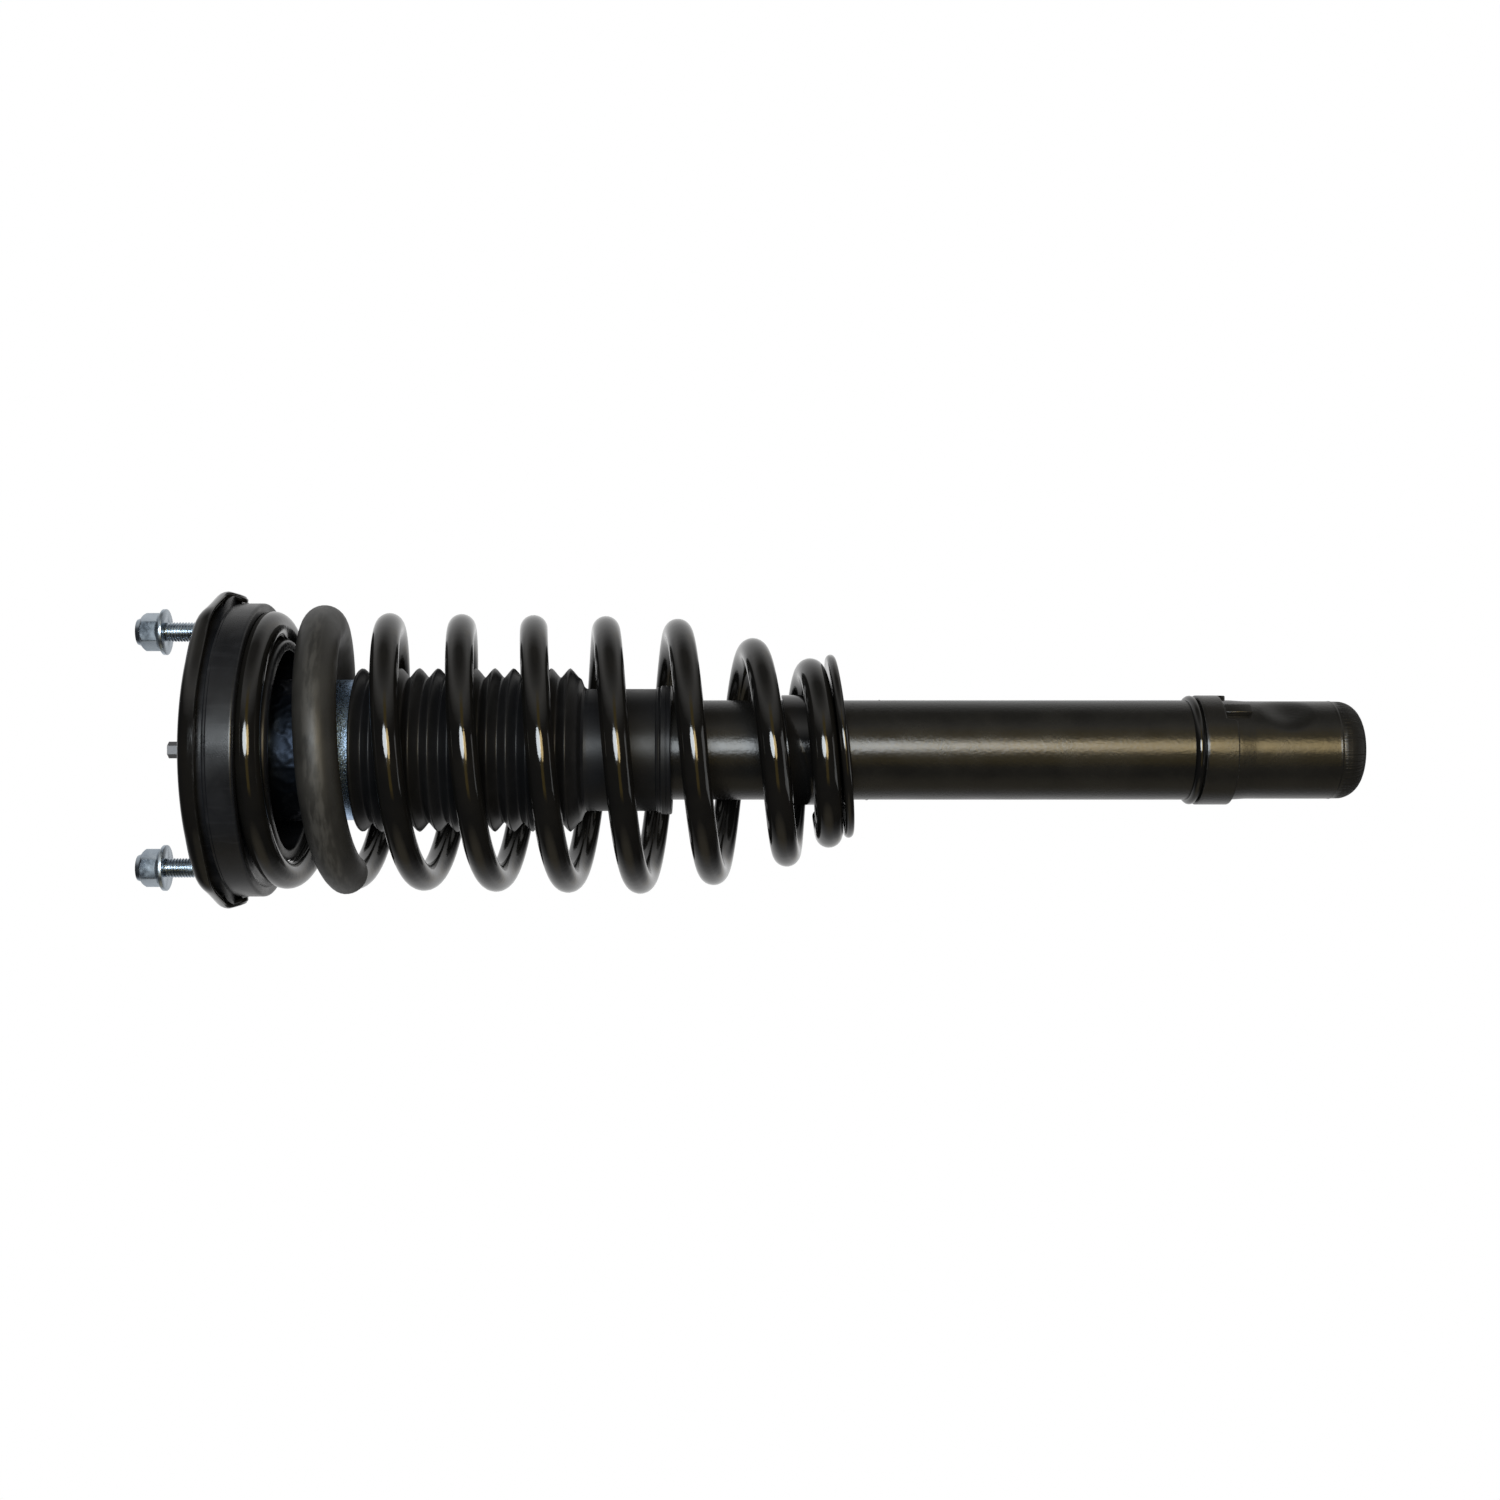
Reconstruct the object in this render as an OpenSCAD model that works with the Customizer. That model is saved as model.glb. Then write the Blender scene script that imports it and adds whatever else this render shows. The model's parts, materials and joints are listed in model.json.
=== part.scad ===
// Complete suspension strut: two-stud top mount, coil spring, twin-tube damper with a clamp-in lower end.
// The damper axis is Z, the top mount is up, and the origin is the centre of the mount plate's top face.
// All sizes are in millimetres. The strut is drawn fully extended, on its rebound stop.

/* [Mount plate] */
// Radius of the round part of the mount plate
plate_r = 76; // [74:0.5:80]
// Sheet thickness of the mount plate
plate_t = 3; // [2:0.5:3.5]
// Height of the mount plate over its turned-down rim
plate_h = 9.2; // [8:0.2:11]
// Outside bend radius of the rim
plate_bend = 6; // [4:0.5:7]
// Distance from the axis to the straight edge of each ear
ear_reach = 80.6; // [80.5:0.1:86]
// Width of an ear's straight edge
ear_w = 38; // [30:1:50]
// Width of an ear where its slanted sides meet the round rim
ear_root_w = 78; // [60:1:84]
// Depth of the lip under each ear, from the plate's top face
ear_lip_depth = 16.5; // [13:0.5:20]
// Width of that lip
ear_lip_w = 26; // [16:1:30]
// Outer radius of the lip at its lower edge
ear_lip_r = 77.6; // [77:0.2:79]
// Gap between the lip and the spring pad
ear_lip_gap = 0.4; // [0.3:0.1:1]
// Radius of the plate's centre hole
plate_bore_r = 27; // [25:0.5:30]

/* [Studs] */
// Pitch circle diameter of the two studs
stud_pcd = 121; // [116:0.5:126]
// Thread radius of a stud
stud_r = 5; // [4:0.5:5]
// Radius of a stud's collar, pressed into the plate and flush with its top
stud_collar_r = 5.6; // [5.3:0.1:6]
// Radius of a stud's head under the plate
stud_head_r = 7.5; // [6.5:0.5:8]
// Thickness of a stud's head
stud_head_t = 2.5; // [1.5:0.5:4]
// Height of a stud's tip above the plate
stud_tip = 38.8; // [36:0.2:42]
// Depth of the thread that the nuts engage
thread_depth = 0.4; // [0.2:0.05:0.6]

/* [Flange nuts] */
// Height of the nuts' seat above the plate
nut_seat = 25; // [18:0.5:28]
// Width across the flats of a nut
nut_af = 17; // [15:0.5:18]
// Total height of a nut
nut_h = 14.7; // [13:0.1:16]
// Radius of a nut's flange
nut_flange_r = 11.75; // [11:0.25:13]
// Height of the rim of a nut's flange
nut_flange_t = 1.6; // [1:0.2:2.4]

/* [Mount cup and rubber] */
// Outer radius of the galvanised cup
cup_r = 36; // [34:0.5:38]
// Sheet thickness of the cup
cup_t = 2; // [1.5:0.25:3]
// Radius of the cup's top flange
cup_flange_r = 50; // [46:0.5:51]
// Depth of the cup's open end below the plate's top
cup_end = 71.5; // [68:0.5:73]
// Outer radius of the inner sleeve
sleeve_r = 13; // [11:0.5:15]
// Depth of the rubber's lower face
rubber_end = 21.7; // [16:0.1:21.9]
// Depth of the rubber's upper face below the plate's top
rubber_top = 0.8; // [0.2:0.2:2]
// Height of the inner sleeve's upper face above the plate's top
sleeve_top = 1.5; // [0.5:0.5:3]
// Depth of the lower washer's upper face
washer_seat = 22; // [22:0.5:23]
// Radius of the lower washer
low_washer_r = 24; // [20:0.5:26]
// Thickness of the lower washer
low_washer_t = 4; // [3:0.5:5]
// Radius of the upper washer
top_washer_r = 22; // [18:0.5:24]
// Thickness of the upper washer
top_washer_t = 3.5; // [2.5:0.5:4]

/* [Upper spring pad] */
// How far the pad's outer edge lies inside the plate's rim
pad_inset = 1; // [0.5:0.25:2]
// Clearance between the pad's upper body and the inside of the plate's rim
pad_neck_gap = 3; // [2:0.25:4]
// Depth of the pad's upper edge
pad_edge = 12.3; // [11.5:0.1:14]
// Depth of the pad's outer lower edge
pad_end = 27.2; // [25.5:0.1:28]
// Inner radius of the pad
pad_bore_r = 51; // [51:0.25:51.5]
// Depth of the end of the guide lip inside the coil
pad_lip_end = 39; // [35:0.5:40]

/* [Coil spring] */
// Radius of the spring wire
wire_r = 7; // [6:0.25:7.5]
// Coil radius to the wire's centre over the straight turns
coil_r = 64; // [63:0.25:65]
// Coil radius at the end of the pigtail
coil_end_r = 38; // [37:0.25:40]
// Depth of the wire's centre in the flat end turn
coil_top = 30.8; // [30:0.2:33]
// Sideways lean of the coil axis from end to end
coil_lean = 4; // [0:0.5:5]
// Turn at which the spring ends
coil_turns = 8.6; // [8.5:0.05:8.7]
// Turn at which the coil starts to taper
taper_turn = 5.95; // [5:0.05:6.5]
// Outer radius of the rubber hose on the second turn
hose_r = 10.5; // [9.5:0.25:11]
// First turn covered by the hose
hose_first_turn = 0.84; // [0.82:0.02:1.2]
// Last turn covered by the hose
hose_last_turn = 1.46; // [1.3:0.02:1.8]

/* [Bump stop and boot] */
// Depth of the bump stop seat's upper face
bump_seat_z = 30.5; // [29:0.5:32]
// Thickness of the bump stop seat
bump_seat_t = 2.5; // [1.5:0.5:4]
// Radius of the bump stop's upper lobe
bump_r = 32; // [28:0.5:32]
// Depth of the bump stop's lower end
bump_end = 100; // [92:0.5:102]
// Radius of the bump stop's lowest lobe
bump_tip_r = 18; // [17:0.5:22]
// Length of the boot's grip on the end of the cup
boot_grip_h = 2.7; // [1.5:0.1:4]
// Outer radius of the boot's ribs
rib_r = 42; // [41:0.25:45]
// Outer radius of the valleys between the ribs
valley_r = 37; // [36.5:0.25:38]
// Pitch of the ribs
rib_pitch = 9.65; // [9:0.05:10]
// Number of ribs
rib_count = 12; // [10:1:12]
// Distance from the boot's upper edge to the first rib
boot_collar_h = 7; // [6.4:0.2:8]
// Wall thickness of the boot
boot_t = 1.5; // [1:0.1:2]
// Outer radius of the boot's smooth skirt
skirt_r = 31.3; // [31:0.1:33]
// Depth of the boot's lower edge
boot_end = 234; // [225:0.5:240]
// Outer radius of the boot's lower lip
boot_lip_r = 33; // [33:0.25:35]

/* [Piston rod] */
// Radius of the piston rod
rod_r = 10; // [9:0.25:11]
// Thread radius of the rod's upper end
rod_thread_r = 6; // [6:0.25:7]
// Height of the end of the rod's thread above the plate
rod_thread_top = 16.5; // [15.5:0.5:18]
// Height of the rod's tip above the plate
rod_tip = 24.1; // [22:0.1:28]
// Radius over the corners of the rod's hexagonal key end
rod_key_r = 4.3; // [3:0.1:4.8]
// Width across the flats of the rod nut
rod_nut_af = 18; // [17:0.5:21]
// Height of the rod nut
rod_nut_h = 10; // [8:0.5:10]
// Radius of the spigot that carries the piston
spigot_r = 6; // [5:0.25:7]
// Radius of the rebound stop
rebound_r = 14.5; // [12.5:0.25:15]
// Height of the rebound stop
rebound_h = 8; // [6:0.5:12]

/* [Piston] */
// Radius of the piston band
piston_r = 16; // [15.75:0.25:17]
// Thickness of the piston band
band_t = 0.8; // [0.5:0.1:1.2]
// Depth of the rod shoulder that the piston is clamped against
piston_z = 296; // [280:1:320]
// Height of the piston
piston_h = 16; // [14:0.5:22]
// Height of a stack of valve discs
discs_h = 2.5; // [1:0.5:4]
// Radius of the valve discs
discs_r = 12.5; // [12:0.25:13.5]

/* [Damper tube] */
// Outer radius of the damper tube
tube_r = 25.5; // [25:0.25:26]
// Wall thickness of the damper tube
tube_t = 2; // [1.8:0.1:2.2]
// Travel from full extension to the bump stop
stroke = 100; // [80:1:105]
// Depth of the closed lower end
tube_end = 585; // [572:1:602]
// Outside radius of the closed end's corner
tube_corner = 11; // [7:0.5:11]
// Radius of the sized section that the knuckle clamps
clamp_r = 25; // [24.5:0.1:25]
// Depth of the upper end of the clamped section
clamp_top = 527.5; // [527.5:0.5:532]
// Radius of the sphere that forms the dent in the clamped section
dent_r = 30; // [24:1:40]
// Depth of the dent
dent_depth = 1.1; // [0.6:0.1:1.5]
// Depth of the dent's centre below the plate's top
dent_z = 543.5; // [540:0.5:544]
// Angle of the dent round the tube
dent_angle = -35; // [-60:1:-20]

/* [Damper inside] */
// Wall thickness of the pressure tube
pressure_t = 1.5; // [1.25:0.05:2]
// Height of the rod guide's wide body
guide_h = 23.5; // [18:0.5:28]
// Height of the rod guide's spigot inside the pressure tube
guide_spigot_h = 7; // [5:0.5:9]
// Thickness of the rod seal
seal_t = 4; // [3:0.5:6]
// Wall thickness of the guide bush
bush_t = 1.4; // [1:0.1:1.8]
// Height of the base valve above the tube's inner end
base_valve_h = 26.5; // [22:0.5:32]
// Radius of the base valve's body
base_valve_r = 19; // [18.5:0.25:21]
// Radius of the base valve's rivet
base_pin_r = 2.5; // [2:0.25:3]

/* [Striker cap] */
// Outer radius of the striker cap
cap_r = 27.2; // [27.2:0.1:28.2]
// Thickness of the striker cap's top
cap_t = 1.2; // [1:0.1:2]
// Height of the striker cap
cap_h = 12.5; // [9:0.5:16]
// Radius of the striker cap's rod hole
cap_bore_r = 12; // [11.5:0.25:14]

/* [Spring perch] */
// Depth at which the seat's upper face crosses the damper axis
perch_z = 317.6; // [313:0.1:323]
// Tilt of the seat towards the low side of the coil
perch_tilt = 6; // [4:0.5:7]
// Radius of the perch
perch_r = 47.2; // [46.6:0.2:50]
// Sheet thickness of the perch
perch_t = 3; // [2.5:0.25:4]
// Radius of the bead round the perch's edge
perch_bead_r = 2.3; // [2:0.1:2.6]
// Shift of the perch's round outline towards the high side
perch_shift = 1.7; // [0:0.1:2.4]
// Wall thickness of the perch's neck
neck_t = 2.7; // [2:0.1:3]
// Height of the perch's neck above the seat
neck_h = 24.5; // [18:0.5:28]
// Size of the perch's weld fillet
perch_weld = 3.6; // [2.5:0.1:5]

/* [Locating collar] */
// Depth of the collar's lower face
collar_z = 518.1; // [514:0.1:518.2]
// Height of the collar
collar_h = 16.5; // [14:0.5:22]
// Outer radius of the collar
collar_r = 28; // [27.5:0.25:29]
// Height of the weld on the collar's upper edge
collar_weld_h = 8; // [5:0.1:9]
// Height of the notch in the collar's lower edge
notch_h = 5.2; // [4:0.1:9]
// Width of the locating tab
tab_w = 6.5; // [5:0.25:8]
// Distance from the collar's lower face to the tab's lower end
tab_reach = 8.3; // [4:0.1:9]
// Angle of the tab round the tube
tab_angle = -40; // [-42:1:-28]

/* [Hidden] */
$fn = 96;

cut = 1;                 // how far a cutting shape runs past what it cuts
running_gap = 0.05;      // radial clearance of the rod and the piston band
seat_gap = 0.3;          // clearance between the spring wire and what carries it
hose_gap = 0.3;          // clearance between the wire and the hose on it
boot_grip = 0.2;         // radial clearance of the boot's collar on the cup
foam_gap = 0.2;          // radial clearance of the bump stop on the rod
bump_seat_gap = 5;       // radial clearance of the rod in the bump stop's seat
head_gap = 0.5;          // clearance round a stud's head in the spring pad
thread_gap = 0.05;       // radial clearance in the nuts' threads
stop_gap = 0.2;          // clearance of the rebound stop under the rod guide
bump_gap = 0.5;          // what is left between cap and bump stop at the end of the stroke

// Top mount
stud_pitch_r = stud_r - thread_depth;
rod_pitch_r = rod_thread_r - thread_depth;
cup_bore_r = cup_r - cup_t;
boot_top = cup_end - boot_grip_h;
first_rib = boot_top + boot_collar_h;
rod_shoulder = washer_seat + low_washer_t;
rod_nut_seat = sleeve_top + top_washer_t;
nut_cone_h = 2.4;
nut_hex_h = 8;
nut_crown_inset = 1;
nut_crown_r = nut_af / 2 - nut_crown_inset;
nut_chamfer = 1.4;
rod_nut_flange_w = 4;
rod_nut_flange_r = rod_nut_af / 2 + rod_nut_flange_w;
rod_nut_flange_t = 1.5;
rod_nut_cone_h = 2;
pad_r = plate_r - pad_inset;
pad_neck_r = plate_r - plate_t - pad_neck_gap;
pad_round = 1.5;
pad_lip_round = 3;
boot_lip_h = 6.2;
boot_lip_slope = 1;
boot_shoulder_h = 3;

// Bump stop: each lobe's outline, as offset from its radius and share of its height
bump_lobes = 4;
lobe_shape = [[-6, 0], [-1.5, 0.15], [0, 0.35], [0, 0.65], [-1.5, 0.85], [-6, 1]];

// Piston
band_groove = 1.5;
piston_port_r = 1.6;
piston_ports = 6;
piston_gap = 0.2;
piston_nut_h = 9;
piston_nut_r = 10.4;
thread_over = 2;

// Damper tube
cap_top = bump_end + stroke + bump_gap;
tube_top = cap_top + cap_t;
tube_bore_r = tube_r - tube_t;
crimp_t = 2;
crimp_r = 19;
seal_z = tube_top + crimp_t;
guide_z = seal_z + seal_t;
pressure_top = guide_z + guide_h;
spigot_end = pressure_top + guide_spigot_h;
pressure_bore_r = piston_r + running_gap;
pressure_r = pressure_bore_r + pressure_t;
tube_floor = tube_end - tube_t;
pressure_end = tube_floor - base_valve_h;
bush_top_inset = 2;
bush_end_inset = 1;
valve_spigot_h = 8;
valve_leg_h = 14;
valve_foot_r = clamp_r - tube_corner;
valve_foot_bore_r = 11;
valve_slot_w = 4;
valve_slots = 4;
rivet_head_t = 2;
rivet_head_w = 2;
rivet_head_r = base_pin_r + rivet_head_w;
weld_root = 1.5;         // how far a weld's outline runs into the tube before it is cut
notch_z = collar_z - notch_h;
notch_angles = [10, -20, -50];
collar_top = collar_z - collar_h;

// Coil: the share of the full pitch at each turn, from the flat end turn to the seated pigtail
pitch_share = [[-1, 0], [0.15, 0], [0.45, 1], [1, 1], [1.25, 0.75], [1.5, 0.85], [1.75, 1],
    [5.9, 1], [6.2, 1.05], [7.2, 1.05], [7.7, 0.6], [8.2, 0.6], [8.4, 0.5], [8.6, -0.3], [9, -0.3]];
coil_start = -0.25;
taper_before = 0.1;      // turns over which the taper eases in, before and after its start
taper_after = 0.2;
taper_ease = 1.6;
turn_steps = 32;
coil_sides = 10;
coil_count = round((coil_turns - coil_start) * turn_steps);

function share_at(n) = lookup(n, pitch_share);
function coil_radius(n) =
    lookup(n, [[taper_turn - taper_before, coil_r], [taper_turn + taper_after, coil_r - taper_ease],
        [coil_turns, coil_end_r]]);

// The pitch share summed from the first turn to turn n
function travelled(n, step = 1 / 96) =
    let (count = max(round(n / step), 0))
    count == 0 ? 0 : sum([for (i = [0:count - 1]) share_at((i + 0.5) * step) * step]);
function sum(v, i = 0, total = 0) = i >= len(v) ? total : sum(v, i + 1, total + v[i]);

coil_sum = travelled(coil_turns);
end_x = coil_end_r * cos(360 * coil_turns) - coil_lean;
end_depth = perch_z - tan(perch_tilt) * end_x - (wire_r + seat_gap) / cos(perch_tilt);
pitch = (end_depth - coil_top) / coil_sum;

// Centre of the wire at turn n; turns run clockwise seen from above, down from +X
function coil_point(n) =
    let (gone = travelled(n), r = coil_radius(n), lean = coil_lean * gone / coil_sum)
    [r * cos(360 * n) - lean, -r * sin(360 * n), -coil_top - pitch * gone];
function unit(v) = v / norm(v);

// The turn at ring i of the wire; the hose's rings are the wire's own
function turn_at(i) = coil_start + (coil_turns - coil_start) * i / coil_count;
function ring_near(n) = round((n - coil_start) / (coil_turns - coil_start) * coil_count);

// A round section of radius r, across the wire at turn n
function section(n, r) =
    let (
        p = coil_point(n),
        t = unit(coil_point(n + 1 / 48) - coil_point(n - 1 / 48)),
        e = [cos(360 * n), -sin(360 * n), 0],
        u = unit(e - (e * t) * t),
        w = cross(t, u)
    )
    [for (k = [0:coil_sides - 1]) p + r * (cos(360 * k / coil_sides) * u + sin(360 * k / coil_sides) * w)];

// Triangles of the skin that joins section i to section i + 1, in a list that starts at point "first"
function skin(i, first, flip) =
    [for (k = [0:coil_sides - 1])
        let (a = first + i * coil_sides, b = a + coil_sides, m = (k + 1) % coil_sides)
        for (f = [[a + k, b + k, b + m], [a + k, b + m, a + m]]) flip ? [f[2], f[1], f[0]] : f];
function fan(first, flip) =
    [for (k = [1:coil_sides - 2])
        flip ? [first, first + k + 1, first + k] : [first, first + k, first + k + 1]];
function flat(v) = [for (a = v) for (b = a) b];

// Least gap between turns that are not neighbours along the wire, taken between section centres
function least_gap(points) =
    min([for (i = [0:len(points) - 1]) for (j = [i + turn_steps * 3 / 4:len(points) - 1])
        norm(points[i] - points[j])]) - 2 * wire_r;

module ring(outer, inner, top, bottom) {
    translate([0, 0, -bottom])
        difference() {
            cylinder(h = bottom - top, r = outer);
            translate([0, 0, -cut]) cylinder(h = bottom - top + 2 * cut, r = inner);
        }
}

// Half of a dished sheet's outline: straight top, rounded corner and rim
module dish_outline(reach, depth, bend) {
    translate([0, -depth]) square([reach - bend, depth]);
    translate([0, -depth]) square([reach, depth - bend]);
    intersection() {
        translate([reach - bend, -bend]) circle(r = bend);
        translate([0, -bend]) square([reach, bend]);
    }
}

// The filled shape of the mount plate, "inset" smaller all round
module plate_body(inset) {
    bend = plate_bend - inset;
    rotate_extrude() dish_outline(plate_r - inset, plate_h, bend);
    for (side = [0, 180])
        rotate([0, 0, side])
            intersection() {
                rotate([90, 0, 0])
                    linear_extrude(height = 2 * plate_r, center = true)
                        dish_outline(ear_reach - inset, plate_h, bend);
                translate([0, 0, -plate_h])
                    linear_extrude(height = plate_h)
                        ear_outline(inset);
            }
}

module ear_outline(inset) {
    root_x = sqrt(plate_r * plate_r - ear_root_w * ear_root_w / 4);
    polygon([[0, inset - ear_root_w / 2], [root_x, inset - ear_root_w / 2],
        [ear_reach, inset - ear_w / 2], [ear_reach, ear_w / 2 - inset],
        [root_x, ear_root_w / 2 - inset], [0, ear_root_w / 2 - inset]]);
}

// The lip that carries on down from an ear's rim, drawn in towards the spring pad
module ear_lip() {
    lip_root = plate_h - plate_t;
    lip_in = pad_r + ear_lip_gap;
    intersection() {
        rotate_extrude()
            polygon([[lip_in, -ear_lip_depth], [ear_lip_r, -ear_lip_depth],
                [ear_reach, -plate_h], [ear_reach, -lip_root], [lip_in, -lip_root]]);
        translate([0, -ear_lip_w / 2, -ear_lip_depth])
            cube([ear_reach, ear_lip_w, ear_lip_depth]);
    }
}

module at_studs() {
    for (side = [-1, 1]) translate([side * stud_pcd / 2, 0, 0]) children();
}

module mount_plate() {
    color("#16171a")
        difference() {
            union() {
                difference() {
                    plate_body(0);
                    translate([0, 0, -plate_t]) plate_body(plate_t);
                }
                for (side = [0, 180]) rotate([0, 0, side]) ear_lip();
            }
            translate([0, 0, -plate_t - cut]) cylinder(h = plate_t + 2 * cut, r = plate_bore_r);
            at_studs() translate([0, 0, -plate_t - cut]) cylinder(h = plate_t + 2 * cut, r = stud_collar_r);
        }
}

module mount_studs() {
    color("#b9c0c6")
        at_studs() {
            translate([0, 0, -plate_t - stud_head_t]) cylinder(h = stud_head_t, r = stud_head_r);
            translate([0, 0, -plate_t]) cylinder(h = plate_t, r = stud_collar_r);
            cylinder(h = nut_seat, r = stud_r);
            cylinder(h = stud_tip, r = stud_pitch_r);
        }
}

// A flange nut standing on its seat
module flange_nut(af, height, flange_r, flange_t, cone_h, bore_r) {
    corner_r = af / 2 / cos(30);
    difference() {
        union() {
            cylinder(h = flange_t, r = flange_r);
            translate([0, 0, flange_t]) cylinder(h = cone_h, r1 = flange_r, r2 = af / 2);
            intersection() {
                cylinder(h = height, r = corner_r, $fn = 6);
                cylinder(h = height, r1 = corner_r + height - nut_chamfer, r2 = corner_r - nut_chamfer);
            }
        }
        translate([0, 0, -cut]) cylinder(h = height + 2 * cut, r = bore_r);
    }
}

module flange_nuts() {
    crown_z = nut_flange_t + nut_cone_h + nut_hex_h;
    color("#c3cad0")
        at_studs() translate([0, 0, nut_seat]) {
            flange_nut(nut_af, crown_z, nut_flange_r, nut_flange_t, nut_cone_h, stud_pitch_r + thread_gap);
            translate([0, 0, crown_z])
                difference() {
                    cylinder(h = nut_h - crown_z, r1 = nut_crown_r, r2 = nut_crown_r - nut_crown_inset);
                    translate([0, 0, -cut]) cylinder(h = nut_h, r = stud_pitch_r + thread_gap);
                }
        }
}

module mount_cup() {
    color("#9aa4ad") {
        ring(cup_flange_r, cup_bore_r, plate_t, plate_t + cup_t);
        ring(cup_r, cup_bore_r, plate_t, cup_end);
    }
}

module mount_rubber() {
    color("#202124") {
        ring(cup_bore_r, sleeve_r, plate_t, rubber_end);
        ring(plate_bore_r, sleeve_r, rubber_top, plate_t);
    }
}

module inner_sleeve() {
    color("#8d9299")
        ring(sleeve_r, rod_thread_r + thread_gap, -sleeve_top, washer_seat);
}

module upper_washer() {
    color("#a9afb5")
        ring(top_washer_r, rod_thread_r + thread_gap, -rod_nut_seat, -sleeve_top);
}

module lower_washer() {
    color("#a9afb5")
        ring(low_washer_r, rod_thread_r + thread_gap, washer_seat, rod_shoulder);
}

module rod_nut() {
    color("#b9c0c6")
        translate([0, 0, rod_nut_seat])
            flange_nut(rod_nut_af, rod_nut_h, rod_nut_flange_r, rod_nut_flange_t, rod_nut_cone_h,
                rod_pitch_r + thread_gap);
}

module pad_outline() {
    lip_r = coil_r - wire_r - seat_gap;
    lip_w = lip_r - pad_bore_r;
    body_w = pad_r - pad_bore_r;
    body_h = pad_end - pad_edge;
    translate([pad_bore_r, -pad_edge]) square([pad_neck_r - pad_bore_r, pad_edge - plate_t]);
    translate([pad_bore_r, -pad_end]) square([body_w - pad_round, body_h]);
    translate([pad_bore_r, -pad_end + pad_round]) square([body_w, body_h - 2 * pad_round]);
    for (z = [pad_edge + pad_round, pad_end - pad_round])
        translate([pad_r - pad_round, -z]) circle(r = pad_round);
    translate([pad_bore_r, -pad_lip_end + pad_lip_round])
        square([lip_w, pad_lip_end - pad_edge - pad_lip_round]);
    translate([pad_bore_r, -pad_lip_end]) square([lip_w - pad_lip_round, pad_lip_round]);
    translate([lip_r - pad_lip_round, -pad_lip_end + pad_lip_round]) circle(r = pad_lip_round);
}

module upper_spring_pad() {
    color("#1f2226")
        difference() {
            rotate_extrude()
                difference() {
                    intersection() {
                        pad_outline();
                        translate([pad_bore_r, -pad_lip_end]) square([pad_r, pad_lip_end]);
                    }
                    translate([coil_r, -coil_top]) circle(r = wire_r + seat_gap);
                }
            at_studs()
                translate([0, 0, -plate_t - stud_head_t - head_gap])
                    cylinder(h = stud_head_t + head_gap + cut, r = stud_head_r + head_gap);
        }
}

module coil_spring() {
    turns = [for (i = [0:coil_count]) turn_at(i)];
    echo(str("coil_spring least gap to itself ", least_gap([for (n = turns) coil_point(n)]), " mm"));
    color("#101114")
        polyhedron(
            points = flat([for (n = turns) section(n, wire_r)]),
            faces = concat(
                fan(0, false),
                flat([for (i = [0:coil_count - 1]) skin(i, 0, false)]),
                fan(coil_count * coil_sides, true)
            )
        );
}

module spring_hose() {
    first = ring_near(hose_first_turn);
    count = ring_near(hose_last_turn) - first;
    turns = [for (i = [0:count]) turn_at(first + i)];
    inner = (count + 1) * coil_sides;
    color("#3a3936")
        polyhedron(
            points = concat(
                flat([for (n = turns) section(n, hose_r)]),
                flat([for (n = turns) section(n, wire_r + hose_gap)])
            ),
            faces = concat(
                flat([for (i = [0:count - 1]) skin(i, 0, false)]),
                flat([for (i = [0:count - 1]) skin(i, inner, true)]),
                annulus(0, inner, false),
                annulus(count * coil_sides, inner + count * coil_sides, true)
            )
        );
}

// Triangles of a ring-shaped end between an outer and an inner section
function annulus(outer, inner, flip) =
    [for (k = [0:coil_sides - 1])
        let (m = (k + 1) % coil_sides)
        for (f = [[outer + k, outer + m, inner + m], [outer + k, inner + m, inner + k]])
            flip ? [f[2], f[1], f[0]] : f];

module bump_stop_seat() {
    color("#8d9299")
        ring(cup_bore_r, rod_r + bump_seat_gap, bump_seat_z, bump_seat_z + bump_seat_t);
}

module bump_stop() {
    top = bump_seat_z + bump_seat_t;
    lobe_h = (bump_end - top) / bump_lobes;
    bore_r = rod_r + foam_gap;
    color("#c9b98a")
        rotate_extrude()
            polygon(concat(
                [[bore_r, -top]],
                [for (i = [0:bump_lobes - 1])
                    let (r = bump_r - (bump_r - bump_tip_r) * i / (bump_lobes - 1))
                    for (p = lobe_shape) [r + p[0], -top - (i + p[1]) * lobe_h]],
                [[bore_r, -bump_end]]
            ));
}

// Outline of the ribbed boot, "inset" nearer to the axis
module boot_outline(inset) {
    grip_r = cup_r + boot_grip + boot_t;
    crest = 0.18 * rib_pitch;
    valley = 0.42 * rib_pitch;
    ribs_end = first_rib + (rib_count - 0.5) * rib_pitch;
    lip_top = boot_end - boot_lip_h;
    polygon(concat(
        [[0, -boot_top], [grip_r - inset, -boot_top], [grip_r - inset, -first_rib + rib_pitch / 2]],
        [for (i = [0:rib_count - 1])
            let (z = first_rib + i * rib_pitch)
            for (p = [[valley_r, -valley], [rib_r, -crest], [rib_r, crest], [valley_r, valley]])
                [p[0] - inset, -z - p[1]]],
        [[skirt_r - inset, -ribs_end - boot_shoulder_h], [skirt_r - inset, -lip_top],
            [boot_lip_r - inset, -lip_top - boot_lip_slope], [boot_lip_r - inset, -boot_end], [0, -boot_end]]
    ));
}

module dust_boot() {
    color("#1b1c1e")
        rotate_extrude()
            difference() {
                boot_outline(0);
                boot_outline(boot_t);
                translate([-cut, -cup_end]) square([cut + cup_r + boot_grip, cup_end]);
                translate([-cut, -boot_end - cut]) square([cut + skirt_r - boot_t, boot_end]);
            }
}

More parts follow.
